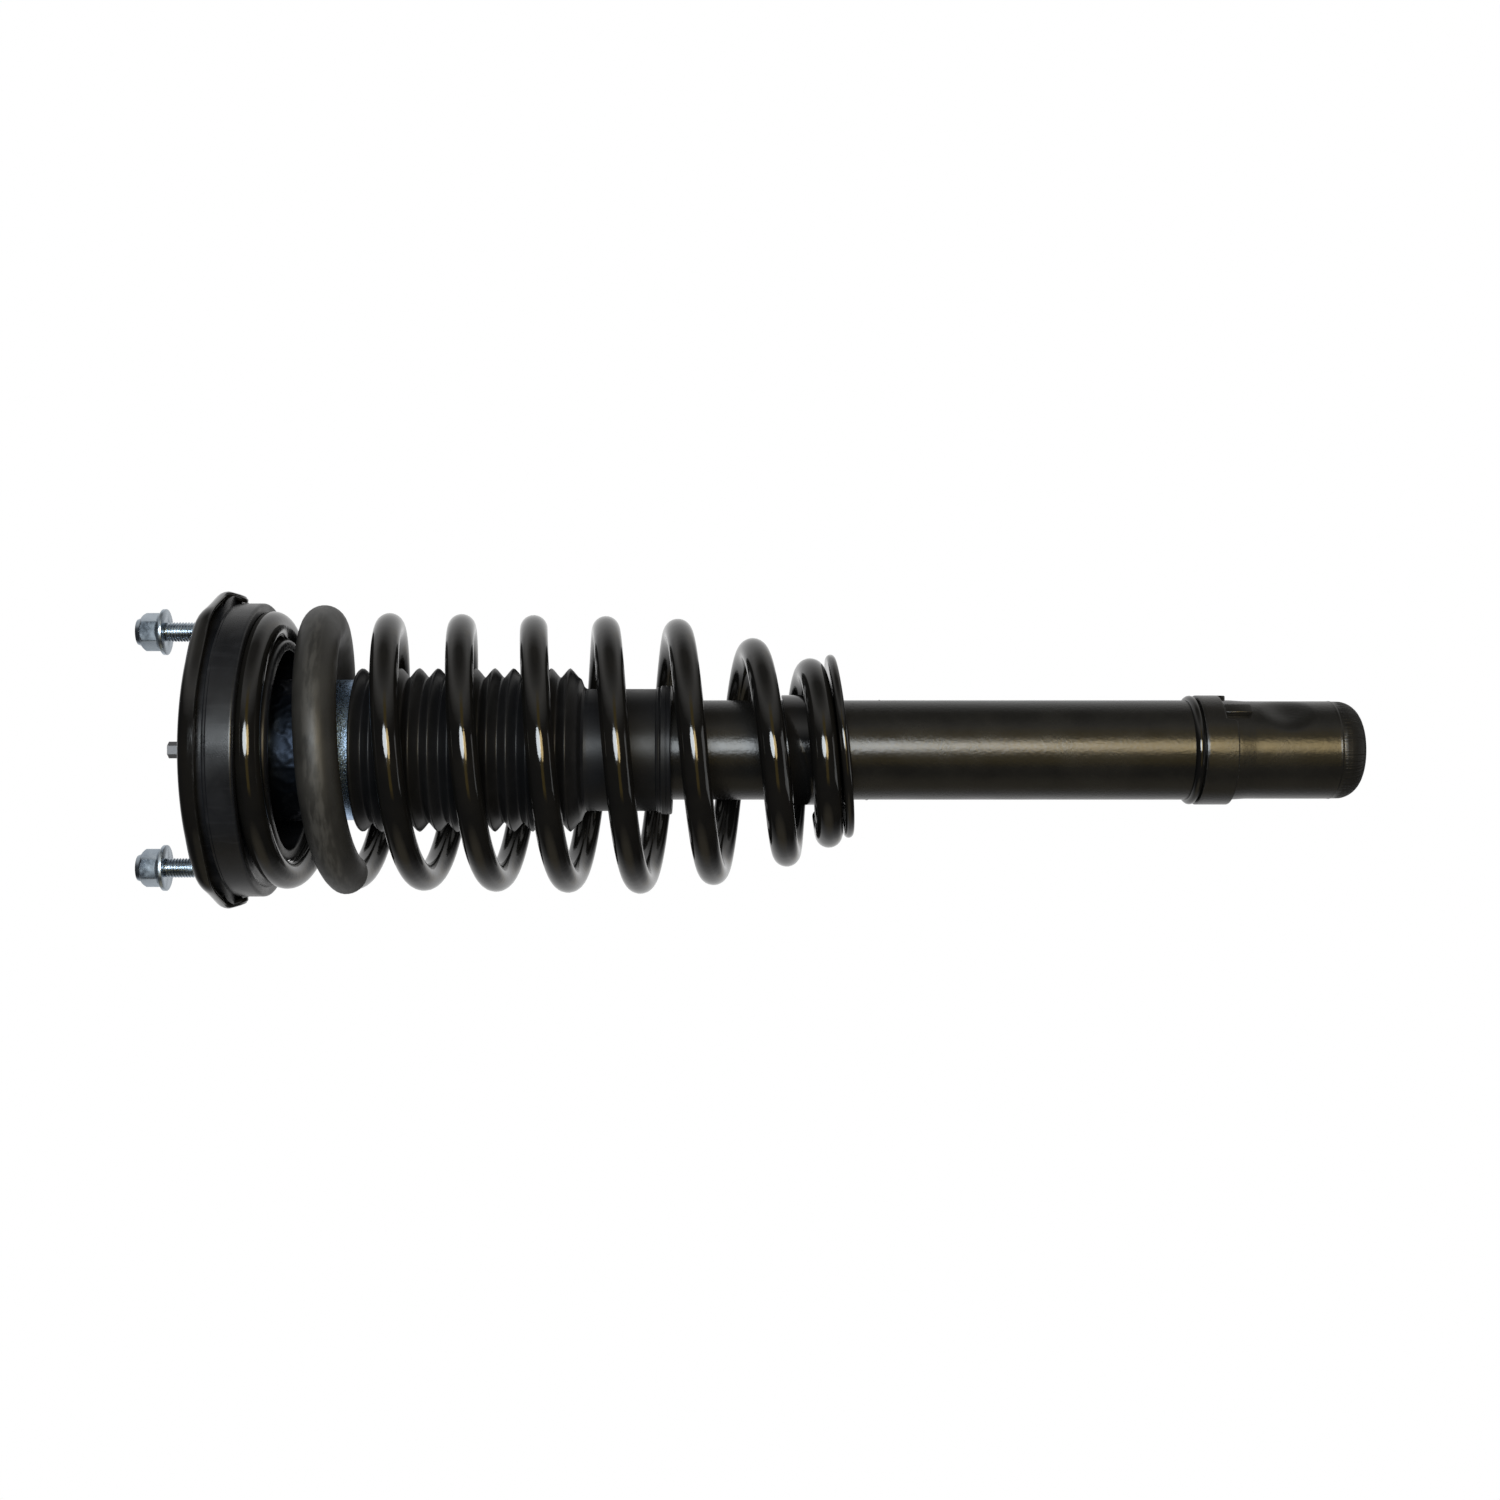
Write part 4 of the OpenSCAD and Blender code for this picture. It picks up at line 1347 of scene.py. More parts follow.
@dataclass
class CoilSpring(SubAssembly):
    """The tapered, leaning coil spring and the hose on its second turn.

    Attributes:
        lean: How far the lower end stands off the axis.
        seat_gap: Gap between the wire and the perch.
        end_swell: Radius factor of the wire's end faces.
        end_bevel: Turns over which each end is chamfered.
        hose_pinch: How much narrower the hose is at its ends.
        hose_wave: How much it swells and narrows between them.
        pitch_share: Turn, and the share of the full pitch that the coil has there.
    """

    wire_r: float = 7.0
    wire_sides: int = 28
    coil_r: float = 64.0
    taper_r: float = 62.4
    end_r: float = 38.0
    top: float = 30.8
    lean: float = 4.0
    first_turn: float = -0.25
    last_turn: float = 8.6
    taper_turn: float = 5.95
    perch_z: float = PERCH_Z
    perch_tilt: float = PERCH_TILT
    seat_gap: float = 0.3
    hose_r: float = 10.5
    hose_sides: int = 32
    hose_gap: float = 0.15
    hose_edge: float = 0.5
    hose_pinch: float = 0.05
    hose_wave: float = 0.006
    hose_turns: tuple[float, float] = (0.84, 1.46)
    rings_a_turn: int = 72
    end_swell: float = 0.9
    end_bevel: tuple[float, float] = (0.0022, 0.0036)
    steps_a_turn: int = 960
    pitch_share: tuple[tuple[float, float], ...] = (
        (-1, 0), (0.15, 0), (0.45, 1), (1, 1), (1.25, 0.75), (1.5, 0.85), (1.75, 1),
        (5.9, 1), (6.2, 1.05), (7.2, 1.05), (7.7, 0.6), (8.2, 0.6), (8.4, 0.5), (8.6, -0.3), (9, -0.3),
    )  # fmt: skip

    def travelled(self, turns: np.ndarray) -> np.ndarray:
        """The pitch share summed from the first turn.

        Args:
            turns: Turn numbers.

        Returns:
            The sum up to each turn.
        """
        most = self.pitch_share[-1][0]
        fine = np.linspace(0.0, most, most * self.steps_a_turn + 1)
        share = np.interp(fine, *zip(*self.pitch_share))
        summed = np.concatenate([[0.0], np.cumsum((share[1:] + share[:-1]) / 2 * (fine[1] - fine[0]))])
        return np.interp(turns, fine, summed, left=0.0)

    def whole_travel(self) -> float:
        """The pitch share summed over the whole coil."""
        return self.travelled(np.array([self.last_turn]))[0]

    def centres(self, turns: np.ndarray) -> np.ndarray:
        """The wire's centre at each turn.

        Args:
            turns: Turn numbers.

        Returns:
            N by 3 array of positions in metres.
        """
        total = self.whole_travel()
        gone = self.travelled(turns)
        tilt = math.radians(self.perch_tilt)
        end_x = self.end_r * math.cos(FULL_TURN * self.last_turn) - self.lean
        end_z = self.perch_z - math.tan(tilt) * end_x - (self.wire_r + self.seat_gap) / math.cos(tilt)
        radius = np.interp(
            turns,
            [self.taper_turn - 0.1, self.taper_turn + 0.2, self.last_turn],
            [self.coil_r, self.taper_r, self.end_r],
        )
        angle = FULL_TURN * turns
        x = radius * np.cos(angle) - self.lean * gone / total
        y = -radius * np.sin(angle)
        z = -self.top - (end_z - self.top) * gone / total
        return np.stack([x, y, z], axis=-1) * MM

    def path(self, name: str, turns: np.ndarray, swell: np.ndarray) -> bpy.types.Object:
        """A line of points for the wire tree.

        Args:
            name: The piece's name.
            turns: Turn number of each point.
            swell: Radius factor of each point.

        Returns:
            The piece, with point attributes turn and swell.
        """
        points = self.centres(turns)
        mesh = bpy.data.meshes.new(name)
        mesh.from_pydata([tuple(p) for p in points], [(i, i + 1) for i in range(len(points) - 1)], [])
        for label, values in (("turn", turns), ("swell", swell)):
            mesh.attributes.new(label, "FLOAT", "POINT").data.foreach_set("value", values.astype(np.float32))
        return new_piece(name, mesh)

    def attach(self, piece: bpy.types.Object) -> str:
        """Lets each section of the wire follow the stroke by its share of the coil's travel.

        Args:
            piece: A finished piece with the point attribute turn.

        Returns:
            How the piece moves, in words.
        """
        turns = np.zeros(len(piece.data.vertices), np.float32)
        piece.data.attributes["turn"].data.foreach_get("value", turns)
        low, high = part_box("coil_spring")
        self.blend(piece, high.z, low.z, self.travelled(turns) / self.whole_travel())
        return "follows the stroke"

    def wire(self) -> bpy.types.Object:
        """Sweeps the wire, with a small chamfer at both ends.

        Returns:
            The piece.
        """
        count = round((self.last_turn - self.first_turn) * self.rings_a_turn)
        turns = np.linspace(self.first_turn, self.last_turn, count + 1)
        turns[1] = turns[0] + self.end_bevel[0]
        turns[-2] = turns[-1] - self.end_bevel[1]
        swell = np.ones(count + 1)
        swell[[0, -1]] = self.end_swell
        values = {"Wire Radius": self.wire_r * MM, "Sides": self.wire_sides, "Closed Ends": True}
        return grown(self.path("spring_wire", turns, swell), self.trees.wire, values)

    def hose(self) -> bpy.types.Object:
        """Sweeps the hose on the same path, drawn in a little at its ends and slightly wavy between them.

        Returns:
            The piece.
        """
        first, last = self.hose_turns
        turns = np.linspace(first, last, 121)
        ends = np.minimum(turns - first, last - turns) / (last - first)
        pinch = self.hose_pinch * np.exp(-ends / 0.006)
        swell = 1.0 - pinch + self.hose_wave * np.sin((turns - first) * 11)
        piece = self.path("hose_sleeve", turns, swell)
        values = {"Wire Radius": self.hose_r * MM, "Sides": self.hose_sides, "Closed Ends": False}
        grown(piece, self.trees.wire, values)
        wall = piece.modifiers.new("wall", "SOLIDIFY")
        wall.thickness = (self.hose_r - self.wire_r - self.hose_gap) * MM
        wall.offset = -1.0
        add_bevel(piece, "edge", self.hose_edge, 50.0)
        return baked(piece)

    def build(self) -> None:
        """Builds the wire and the hose."""
        self.settle(self.wire(), Slot.GLOSS_BLACK, "coil_spring")
        self.settle(self.hose(), Slot.HOSE, "spring_hose")


@dataclass
class DustBoot(SubAssembly):
    """The ribbed boot with its smooth skirt and stepped lip.

    Attributes:
        face: Depth of the flat face under the sleeve.
        first: Depth of the first rib's crest.
        push_up: The share of the stroke that the skirt moves by.
    """

    top: float = 68.8
    sleeve_r: float = 33.8
    face: float = 74.8
    rib_r: float = 42.0
    valley_r: float = 37.0
    pitch: float = 9.65
    count: int = 12
    rows_a_rib: int = 14
    first: float = 75.8
    wall: float = 1.5
    skirt_r: float = 31.3
    end: float = 234.0
    lip_r: float = 33.0
    lip_h: float = 6.2
    push_up: float = 0.27

    @property
    def ribs_end(self) -> float:
        """Depth of the last rib's lower foot, in mm."""
        return self.first + (self.count - 0.5) * self.pitch

    def outline(self) -> Outline:
        """The closed outline of the wall before the ribs are pushed out.

        Returns:
            Radius and height of each point, in mm.
        """
        foot = self.ribs_end
        start, rows = self.face + 0.05, self.count * self.rows_a_rib
        steps = [start + (foot - self.face - 0.05) * i / rows for i in range(rows + 1)]
        lip = self.end - self.lip_h
        inner_r, inner_valley = self.skirt_r - self.wall, self.valley_r - self.wall
        sleeve: Outline = [
            (self.sleeve_r - 0.3, -self.top),
            (self.sleeve_r, -self.top - 0.3),
            (self.sleeve_r, -self.face + 0.5),
            (self.sleeve_r + 0.5, -self.face),
            (self.valley_r - 0.3, -self.face),
        ]
        skirt: Outline = [
            (self.valley_r - 0.6, -foot - 0.8),
            (self.skirt_r + 1.2, -foot - 2.3),
            (self.skirt_r + 0.2, -foot - 3.6),
            (self.skirt_r, -foot - 5.2),
            (self.skirt_r, -lip + 1.6),
            (self.skirt_r + 0.7, -lip + 1.2),
            (self.skirt_r + 0.9, -lip + 0.6),
            (self.skirt_r + 0.6, -lip),
            (self.skirt_r + 0.5, -lip - 0.5),
        ]
        rim: Outline = [
            (self.lip_r - 0.4, -lip - 0.8),
            (self.lip_r, -lip - 1.3),
            (self.lip_r, -lip - 3.4),
            (self.lip_r - 0.35, -lip - 3.6),
            (self.lip_r - 0.35, -lip - 4.0),
            (self.lip_r, -lip - 4.2),
            (self.lip_r, -self.end + 0.5),
            (self.lip_r - 0.5, -self.end),
        ]
        inside: Outline = [
            (inner_r + 0.4, -self.end),
            (inner_r, -self.end + 0.4),
            (inner_r, -foot - 4.6),
            (self.skirt_r - 0.2, -foot - 2.2),
            (inner_valley - 0.4, -foot - 0.2),
        ]
        inside += [(inner_valley, -z) for z in reversed(steps) if z > self.face + self.wall]
        inside += [(self.sleeve_r - self.wall, -self.face - self.wall), (self.sleeve_r - self.wall, -self.top)]
        return sleeve + [(self.valley_r, -z) for z in steps] + skirt + rim + inside

    def attach(self, piece: bpy.types.Object) -> str:
        """Lets the ribs close up from the seat as the tube pushes into them, evenly along the boot.

        Args:
            piece: The boot.

        Returns:
            How the piece moves, in words.
        """
        depths = -np.array([vertex.co.z for vertex in piece.data.vertices]) / MM
        shares = np.clip((depths - self.face) / (self.ribs_end - self.face), 0, 1) * self.push_up
        self.blend(piece, -self.face * MM, -self.ribs_end * MM, shares)
        return "its ribs fold"

    def build(self) -> None:
        """Builds the boot."""
        values = {
            "First Rib": -self.first * MM,
            "Pitch": self.pitch * MM,
            "Rib Count": self.count,
            "Rib Height": (self.rib_r - self.valley_r) * MM,
            "Upper Face": (self.face + 0.02 - self.first) / self.pitch,
        }
        boot = grown(lathe("dust_boot_bellows", self.outline(), 120), self.trees.bellows, values)
        self.settle(boot, Slot.BOOT, "dust_boot")


@dataclass
class SpringPad(SubAssembly):
    """The rubber pad between the plate and the coil, the mount rubber and the bump stop.

    Attributes:
        ear_fill: How far the pad's upper part reaches into the plate's ears.
        ear_from: Cosine of the angle from the ear's middle where that starts.
        lobe: Radius beyond the lobe's, share of its height, and fillet of each corner of a bump stop lobe.
    """

    outer_r: float = 75.0
    neck_r: float = 70.0
    ear_fill: float = 5.8
    ear_from: float = 0.82
    ear_fade: float = 0.14
    bore_r: float = 51.0
    plate_t: float = 3.0
    edge: float = 12.3
    end: float = 27.2
    lip_end: float = 39.0
    coil_r: float = 64.0
    groove_r: float = 7.3
    groove_z: float = 30.8
    rubber: tuple[Corner, ...] = (
        (13.0, -0.8, 0), (14.5, -0.8, 0.5), (17.0, -2.2, 1.5), (23.5, -2.2, 1.5), (25.8, -0.8, 0.5),
        (27.0, -0.8, 0.3), (27.0, -3.0, 0), (34.0, -3.0, 0.3), (34.0, -21.7, 1.0), (30.0, -19.0, 2.0),
        (18.0, -19.0, 2.0), (13.0, -21.7, 0.6),
    )  # fmt: skip
    foam_bore_r: float = 10.2
    foam_r: tuple[float, float] = (32.0, 18.0)
    foam_top: float = 33.0
    foam_end: float = 100.0
    foam_lobes: int = 4
    lobe: tuple[Corner, ...] = (
        (-6, 0.0, 0.8), (-1.5, 0.15, 1.5), (0, 0.35, 2.0), (0, 0.65, 2.0), (-1.5, 0.85, 1.5), (-6, 0.985, 0.8),
    )  # fmt: skip

    def outline(self) -> Outline:
        """The pad's closed outline with its coil groove.

        Returns:
            Radius and height of each point, in mm.
        """
        start = math.asin((self.groove_z - self.end) / self.groove_r)
        groove: list[Corner] = [
            (self.coil_r + self.groove_r * math.cos(a), -self.groove_z + self.groove_r * math.sin(a), 0.0)
            for a in np.linspace(start, math.pi, 18)
        ]
        body: list[Corner] = [
            (self.bore_r, -self.plate_t, 0.6),
            (self.neck_r, -self.plate_t, 0.8),
            (self.neck_r, -self.edge + 0.4, 0.8),
            (self.outer_r - 0.6, -self.edge, 0.9),
            (self.outer_r - 0.6, -self.edge - 1.6, 0.3),
            (self.outer_r, -self.edge - 2.0, 0.3),
            (self.outer_r, -self.end, 1.6),
        ]
        lip: list[Corner] = [
            (self.coil_r - self.groove_r, -self.lip_end, 3.4),
            (self.bore_r, -self.lip_end, 1.6),
        ]
        return filleted(body + groove + lip, steps=6)

    def into_ears(self, spot: Vector, flat: float) -> float:
        """How far the pad's upper part reaches out into the plate's ears.

        Args:
            spot: A point in metres.
            flat: Its radius in mm.

        Returns:
            The point's move outwards in mm.
        """
        if flat <= self.neck_r - 2 or -spot.z >= (self.edge - 0.1) * MM:
            return 0.0
        towards_ear = abs(spot.x) / MM / flat
        return self.ear_fill * eased(min(1.0, max(0.0, (towards_ear - self.ear_from) / self.ear_fade)))

    def foam(self) -> Outline:
        """The bump stop's closed outline: lobes that get smaller towards the tube.

        Returns:
            Radius and height of each point, in mm.
        """
        height = (self.foam_end - self.foam_top) / self.foam_lobes
        wide, narrow = self.foam_r
        corners: list[Corner] = [(self.foam_bore_r, -self.foam_top, 0.4)]
        for i in range(self.foam_lobes):
            radius, top = wide - (wide - narrow) * i / (self.foam_lobes - 1), -self.foam_top - i * height
            corners += [(radius + out, top - share * height, size) for out, share, size in self.lobe]
        return filleted([*corners, (self.foam_bore_r, -self.foam_end, 0.4)])

    def build(self) -> None:
        """Builds the pad, the mount rubber and the bump stop."""
        pad = pushed(lathe("spring_pad", self.outline(), 192), self.into_ears)
        self.settle(pad, Slot.RUBBER, "upper_spring_pad")
        self.settle(lathe("mount_rubber_block", filleted(self.rubber), 96), Slot.RUBBER, "mount_rubber")
        self.settle(lathe("bump_stop_foam", self.foam(), 80), Slot.FOAM, "bump_stop")


@dataclass
class TopMount(SubAssembly):
    """The stamped plate, its studs and nuts, the galvanised cup and what holds the rod.

    Attributes:
        engaged_r: Radius of the thread where a nut sits.
        rim: Depth of the plate's edge.
        bend: How far the rim's bend reaches in and down.
        ear_bend: The same in the middle of an ear.
        ear_span_deg: Angles from an ear's middle where its bend starts and is full.
        pucks: Place along X and Y and radius of the rounds that the plate's edge is drawn around.
        lip_half: Half an ear lip's width.
        lip_lean: How far a lip leans in.
        plate_rings: Radii of the rings of points in the plate's flat face.
        shade_film_fade: Lengths over which the film's folds begin and end.
        film_rise: How far the folds stand out.
        film_stretch: Factor on Z where the folds are read, which draws them out along the cup.
        film_folds: Scale and weight of each layer of folds.
    """

    pcd: float = 121.0
    stud_r: float = 5.0
    engaged_r: float = 4.6
    tip: float = 38.8
    nut_seat: float = 25.0
    pitch: float = 1.5
    thread_depth: float = 0.75
    thread_chamfer: float = 0.7
    thread_columns: int = 56
    rows_a_pitch: int = 14
    stud_head: tuple[Corner, ...] = (
        (0, -5.5, 0), (7.5, -5.5, 0.8), (7.5, -3.0, 0.2), (5.55, -3.0, 0), (5.55, 0.0, 0.2), (0, 0.0, 0),
    )  # fmt: skip
    plate_r: float = 75.97
    plate_t: float = 2.8
    plate_bore: float = 27.0
    plate_rings: tuple[float, float] = (34.0, 54.0)
    plate_columns: int = 288
    bend_steps: int = 9
    rim: float = 9.2
    bend: tuple[float, float] = (6.0, 6.0)
    ear_bend: tuple[float, float] = (13.0, 9.0)
    ear_span_deg: tuple[float, float] = (48.0, 12.0)
    pucks: tuple[tuple[float, float, float], ...] = ((66.6, 9.0, 14.0), (50.5, 31.0, 21.5))
    lip_end: float = 16.5
    lip_half: float = 17.0
    lip_lean: float = 2.6
    cup_r: float = 36.0
    cup_t: float = 2.0
    cup_gap: float = 0.2
    flange_r: float = 50.0
    cup_end: float = 74.3
    film_top: float = 20.0
    shade_film_end: float = 56.0
    shade_film_fade: tuple[float, float] = (3.0, 1.5)
    film_rise: float = 0.45
    film_stretch: float = 0.7
    film_folds: tuple[tuple[float, float], ...] = ((190, 2.2), (430, 0.7))

    def plate_edge(self, angles: np.ndarray) -> np.ndarray:
        """The plate's reach in each direction.

        One taut line is drawn round a disc, its shoulders and two ears.

        Args:
            angles: Directions from the axis, in radians.

        Returns:
            The reach in mm.
        """
        normals = around(1440)
        across, along = np.cos(normals), np.sin(normals)
        reach = np.full_like(normals, self.plate_r)
        for x, y, radius in self.pucks:
            reach = np.maximum(reach, x * np.abs(across) + y * np.abs(along) + radius)
        lean = np.cos(angles[:, None] - normals[None, :])
        return np.where(lean > 0.3, reach[None, :] / np.maximum(lean, 0.3), np.inf).min(axis=1)

    def plate(self) -> bpy.types.Object:
        """Presses the plate: a flat face, a rolled rim, and two ears whose lips turn down to the pad.

        Returns:
            The piece.
        """
        angles = around(self.plate_columns)
        edge = self.plate_edge(angles)
        lean = np.abs(np.cos(angles))
        low, high = (math.cos(math.radians(degrees)) for degrees in self.ear_span_deg)
        ear = eased(np.clip((lean - low) / (high - low), 0.0, 1.0))
        across = np.clip(np.abs(edge * np.sin(angles)) / self.lip_half, 0.0, 1.0)
        lip = np.where(lean > 0.8, np.cos(across * math.pi / 2) ** 2, 0.0)
        wide = self.bend[0] + (self.ear_bend[0] - self.bend[0]) * ear
        deep = self.bend[1] + (self.ear_bend[1] - self.bend[1]) * ear
        end = self.rim + (self.lip_end - self.rim) * lip
        wall, bore, swing = self.plate_t, self.plate_bore, self.lip_lean * lip
        face = (bore + 0.3, *self.plate_rings, edge - wide - 0.3)
        rows: list[tuple[Any, Any]] = [(radius, 0.0) for radius in face]
        for a in np.linspace(0.0, math.pi / 2, self.bend_steps):
            rows.append((edge - wide * (1 - math.sin(a)), deep * (1 - math.cos(a))))
        for share in (0.15, 0.4, 0.7, 0.86):
            rows.append((edge - swing * share**1.7, deep + (end - deep) * share))
        rounding = ((0.15, 0.75), (0.5, 0.28), (1.0, 0.04))
        for inward, rise in (*rounding, *((wall - inward, rise) for inward, rise in reversed(rounding))):
            rows.append((edge - swing - inward, end - rise))
        for share in (0.8, 0.45, 0.15):
            rows.append((edge - wall - swing * share**1.7, deep + (end - deep) * share))
        for a in np.linspace(math.pi / 2, 0.0, self.bend_steps):
            rows.append((edge - wide + (wide - wall) * math.sin(a), wall + (deep - wall) * (1 - math.cos(a))))
        rows += [(edge - wide - 0.3, wall), (bore, wall), (bore, 0.3)]
        return wrapped("stamped_plate", angles, [(radius, -depth) for radius, depth in rows], 60.0)

    def crinkle(self, spot: Vector, flat: float) -> float:
        """How far the cup's film stands out in a fold.

        Args:
            spot: A point in metres.
            flat: Its radius in mm.

        Returns:
            The point's move outwards in mm.
        """
        depth = -spot.z / MM
        if flat < self.cup_r - 0.1 or not self.film_top < depth < self.shade_film_end:
            return 0.0
        above, below = self.shade_film_fade
        fade = min(1.0, (self.shade_film_end - depth) / below, (depth - self.film_top) / above)
        place = Vector((spot.x, spot.y, spot.z * self.film_stretch))
        crease = 1.0
        for scale, weight in self.film_folds:
            crease -= abs(noise.noise(place * scale)) * weight
        return self.film_rise * fade * max(0.0, crease)

    def cup(self) -> bpy.types.Object:
        """Draws the cup, with a crinkled film round its upper part.

        Returns:
            The piece.
        """
        top = self.plate_t + self.cup_gap
        flange: list[Corner] = [
            (self.cup_r - self.cup_t, -top, 0),
            (self.flange_r, -top, 0.3),
            (self.flange_r, -top - self.cup_t, 0.3),
            (self.cup_r, -top - self.cup_t, 2.5),
        ]
        shade_film: list[Corner] = [(self.cup_r, -float(z), 0) for z in np.linspace(self.film_top, self.shade_film_end, 60)]
        mouth: list[Corner] = [
            (self.cup_r, -self.cup_end, 0.5),
            (self.cup_r - self.cup_t, -self.cup_end, 0.4),
        ]
        return pushed(lathe("galvanised_cup", filleted(flange + shade_film + mouth), 240), self.crinkle)

    def threaded(self, name: str, x: float, foot: float, end: float, radius: float) -> bpy.types.Object:
        """Makes one threaded length with the thread tree.

        Args:
            name: The piece's name.
            x: Where its axis stands, in mm.
            foot: Height of its lower end, in mm.
            end: Height of its upper end, in mm.
            radius: Major radius, in mm.

        Returns:
            The piece.
        """
        length = end - foot
        values = {
            "Major Radius": radius * MM,
            "Thread Depth": self.thread_depth * MM,
            "Pitch": self.pitch * MM,
            "Length": length * MM,
            "Chamfer": self.thread_chamfer * MM,
            "Foot": (x * MM, 0.0, foot * MM),
            "Columns": self.thread_columns,
            "Rows": round(length / self.pitch * self.rows_a_pitch),
        }
        return grown(new_piece(name, bpy.data.meshes.new(name)), self.trees.thread, values)

    def studs(self) -> None:
        """Builds both studs as one piece of threads and one of heads and collars."""
        threads, heads = [], []
        for x in (-self.pcd / 2, self.pcd / 2):
            head = lathe("stud_base", filleted(self.stud_head), 48)
            head.data.transform(Matrix.Translation((x * MM, 0, 0)))
            heads.append(head)
            threads.append(self.threaded("stud_thread", x, -0.5, self.nut_seat, self.stud_r))
            threads.append(self.threaded("stud_tip", x, self.nut_seat - 1, self.tip, self.engaged_r))
        self.settle(joined("threaded_studs", threads), Slot.ZINC, "mount_studs")
        self.settle(joined("stud_heads", heads), Slot.GLOSS_BLACK)

    def build(self) -> None:
        """Builds and dresses the top mount's hard pieces."""
        self.settle(self.plate(), Slot.GLOSS_BLACK, "mount_plate")
        self.settle(self.cup(), Slot.GALVANISED, "mount_cup")
        self.studs()
        for node, name, bevel in (
            ("flange_nuts", "rounded_nuts", 0.3),
            ("rod_nut", "rounded_rod_nut", 0.3),
            ("upper_washer", "rebound_washer", 0.35),
        ):
            self.settle(rounded_copy(node, name, bevel), Slot.ZINC, node)


@dataclass
class DamperTube(SubAssembly):
    """The outer tube with its sized clamp section, dent and spun end, and its welds and collar.

    Attributes:
        corner: Radius of the tube's closed end.
        crease: Depth of the ridge where the clamp section ends.
        weld_ripple: How much each ripple of a weld stands out, as a share of its radius.
        weld_waver: How much a weld's radius wanders.
        perch_weld_off: How far the middle of the perch's weld is from the tube and from the perch.
        collar_weld_off: How far the middle of the collar's weld is from the tube, and above the collar.
    """

    body: Body = Body.DAMPER_TUBE
    tube_r: float = 25.5
    wall: float = 2.0
    top: float = 201.7
    top_bore_r: float = 19.0
    clamp_r: float = 25.0
    clamp_top: float = 527.5
    end: float = 585.0
    corner: float = 11.0
    crease: float = 570.4
    band_rows: int = 44
    dent_r: float = 14.5
    dent_depth: float = 2.3
    dent_z: float = 545.0
    dent_deg: float = -38.0
    collar_r: float = 28.0
    collar_top: float = 501.6
    collar_end: float = 518.1
    collar_gap: float = 0.02
    notch_h: float = 5.2
    notch_deg: float = -27.0
    notch_half_deg: float = 29.5
    notch_fade_deg: float = 1.5
    weld_columns: int = 240
    weld_ripple: float = 0.045
    weld_waver: float = 0.018
    perch_weld_r: float = 2.6
    perch_weld_off: float = 0.7
    perch_weld_ripples: int = 64
    collar_weld_r: float = 2.35
    collar_weld_off: tuple[float, float] = (0.05, 2.6)
    collar_weld_ripples: int = 52
    spatter_band: tuple[float, float] = (324.0, 343.0)
    spatter_density: float = 9000.0
    spatter_r: float = 0.45
    perch_z: float = PERCH_Z
    perch_tilt: float = PERCH_TILT
    perch_t: float = 3.0

    def outline(self) -> Outline:
        """The tube's closed outline, its clamp section and the inside behind it in short steps for the dent.

        Returns:
            Radius and height of each point, in mm.
        """
        inner_r, deep = self.clamp_r - self.wall, self.end - self.wall
        shoulder: Outline = [
            (self.top_bore_r, -self.top),
            (self.tube_r - 1.2, -self.top),
            (self.tube_r - 0.3, -self.top - 0.4),
            (self.tube_r, -self.top - 1.4),
            (self.tube_r, -self.clamp_top + 8.8),
            (self.tube_r - 0.03, -self.clamp_top + 7.5),
            (self.clamp_r + 0.03, -self.clamp_top + 0.6),
        ]
        band = np.linspace(self.clamp_top + 0.8, self.crease - 0.7, self.band_rows)
        crease: Outline = [
            (self.clamp_r + 0.12, -self.crease + 0.3),
            (self.clamp_r + 0.12, -self.crease),
            (self.clamp_r - 0.1, -self.crease - 0.45),
        ]
        bend = [
            (
                self.clamp_r - self.corner * (1 - math.cos(a)) - 0.1,
                -self.end + self.corner * (1 - math.sin(a)),
            )
            for a in np.linspace(0.0, math.pi / 2, 13)[1:]
        ]
        floor: Outline = [(0.0, -self.end), (0.0, -deep), (inner_r - self.corner + self.wall, -deep)]
        behind = np.linspace(deep - self.corner + self.wall, self.clamp_top - 2.0, self.band_rows)
        inside: Outline = [
            (self.tube_r - self.wall, -self.clamp_top + 2.0),
            (self.tube_r - self.wall, -self.top - self.wall),
            (self.top_bore_r, -self.top - self.wall),
        ]
        outer = shoulder + [(self.clamp_r, -z) for z in band] + crease + bend
        return outer + floor + [(inner_r, -z) for z in behind] + inside

    def dented(self, spot: Vector, flat: float) -> float:
        """How far the dent presses the tube's wall in.

        Args:
            spot: A point in metres.
            flat: Its radius in mm.

        Returns:
            The point's move outwards in mm, which is below 0 in the dent.
        """
        if flat < self.clamp_r - self.wall - 0.2:
            return 0.0
        turn = math.atan2(spot.y, spot.x) - math.radians(self.dent_deg)
        away = math.hypot(turn * self.clamp_r, spot.z / MM + self.dent_z) / self.dent_r
        return -self.dent_depth * (1.0 - away * away) ** 2 if away < 1.0 else 0.0

    def tube(self) -> bpy.types.Object:
        """Turns the tube and presses the dent into it.

        Returns:
            The piece.
        """
        return pushed(lathe("damper_outer_tube", self.outline(), 240, smooth_deg=40.0), self.dented)

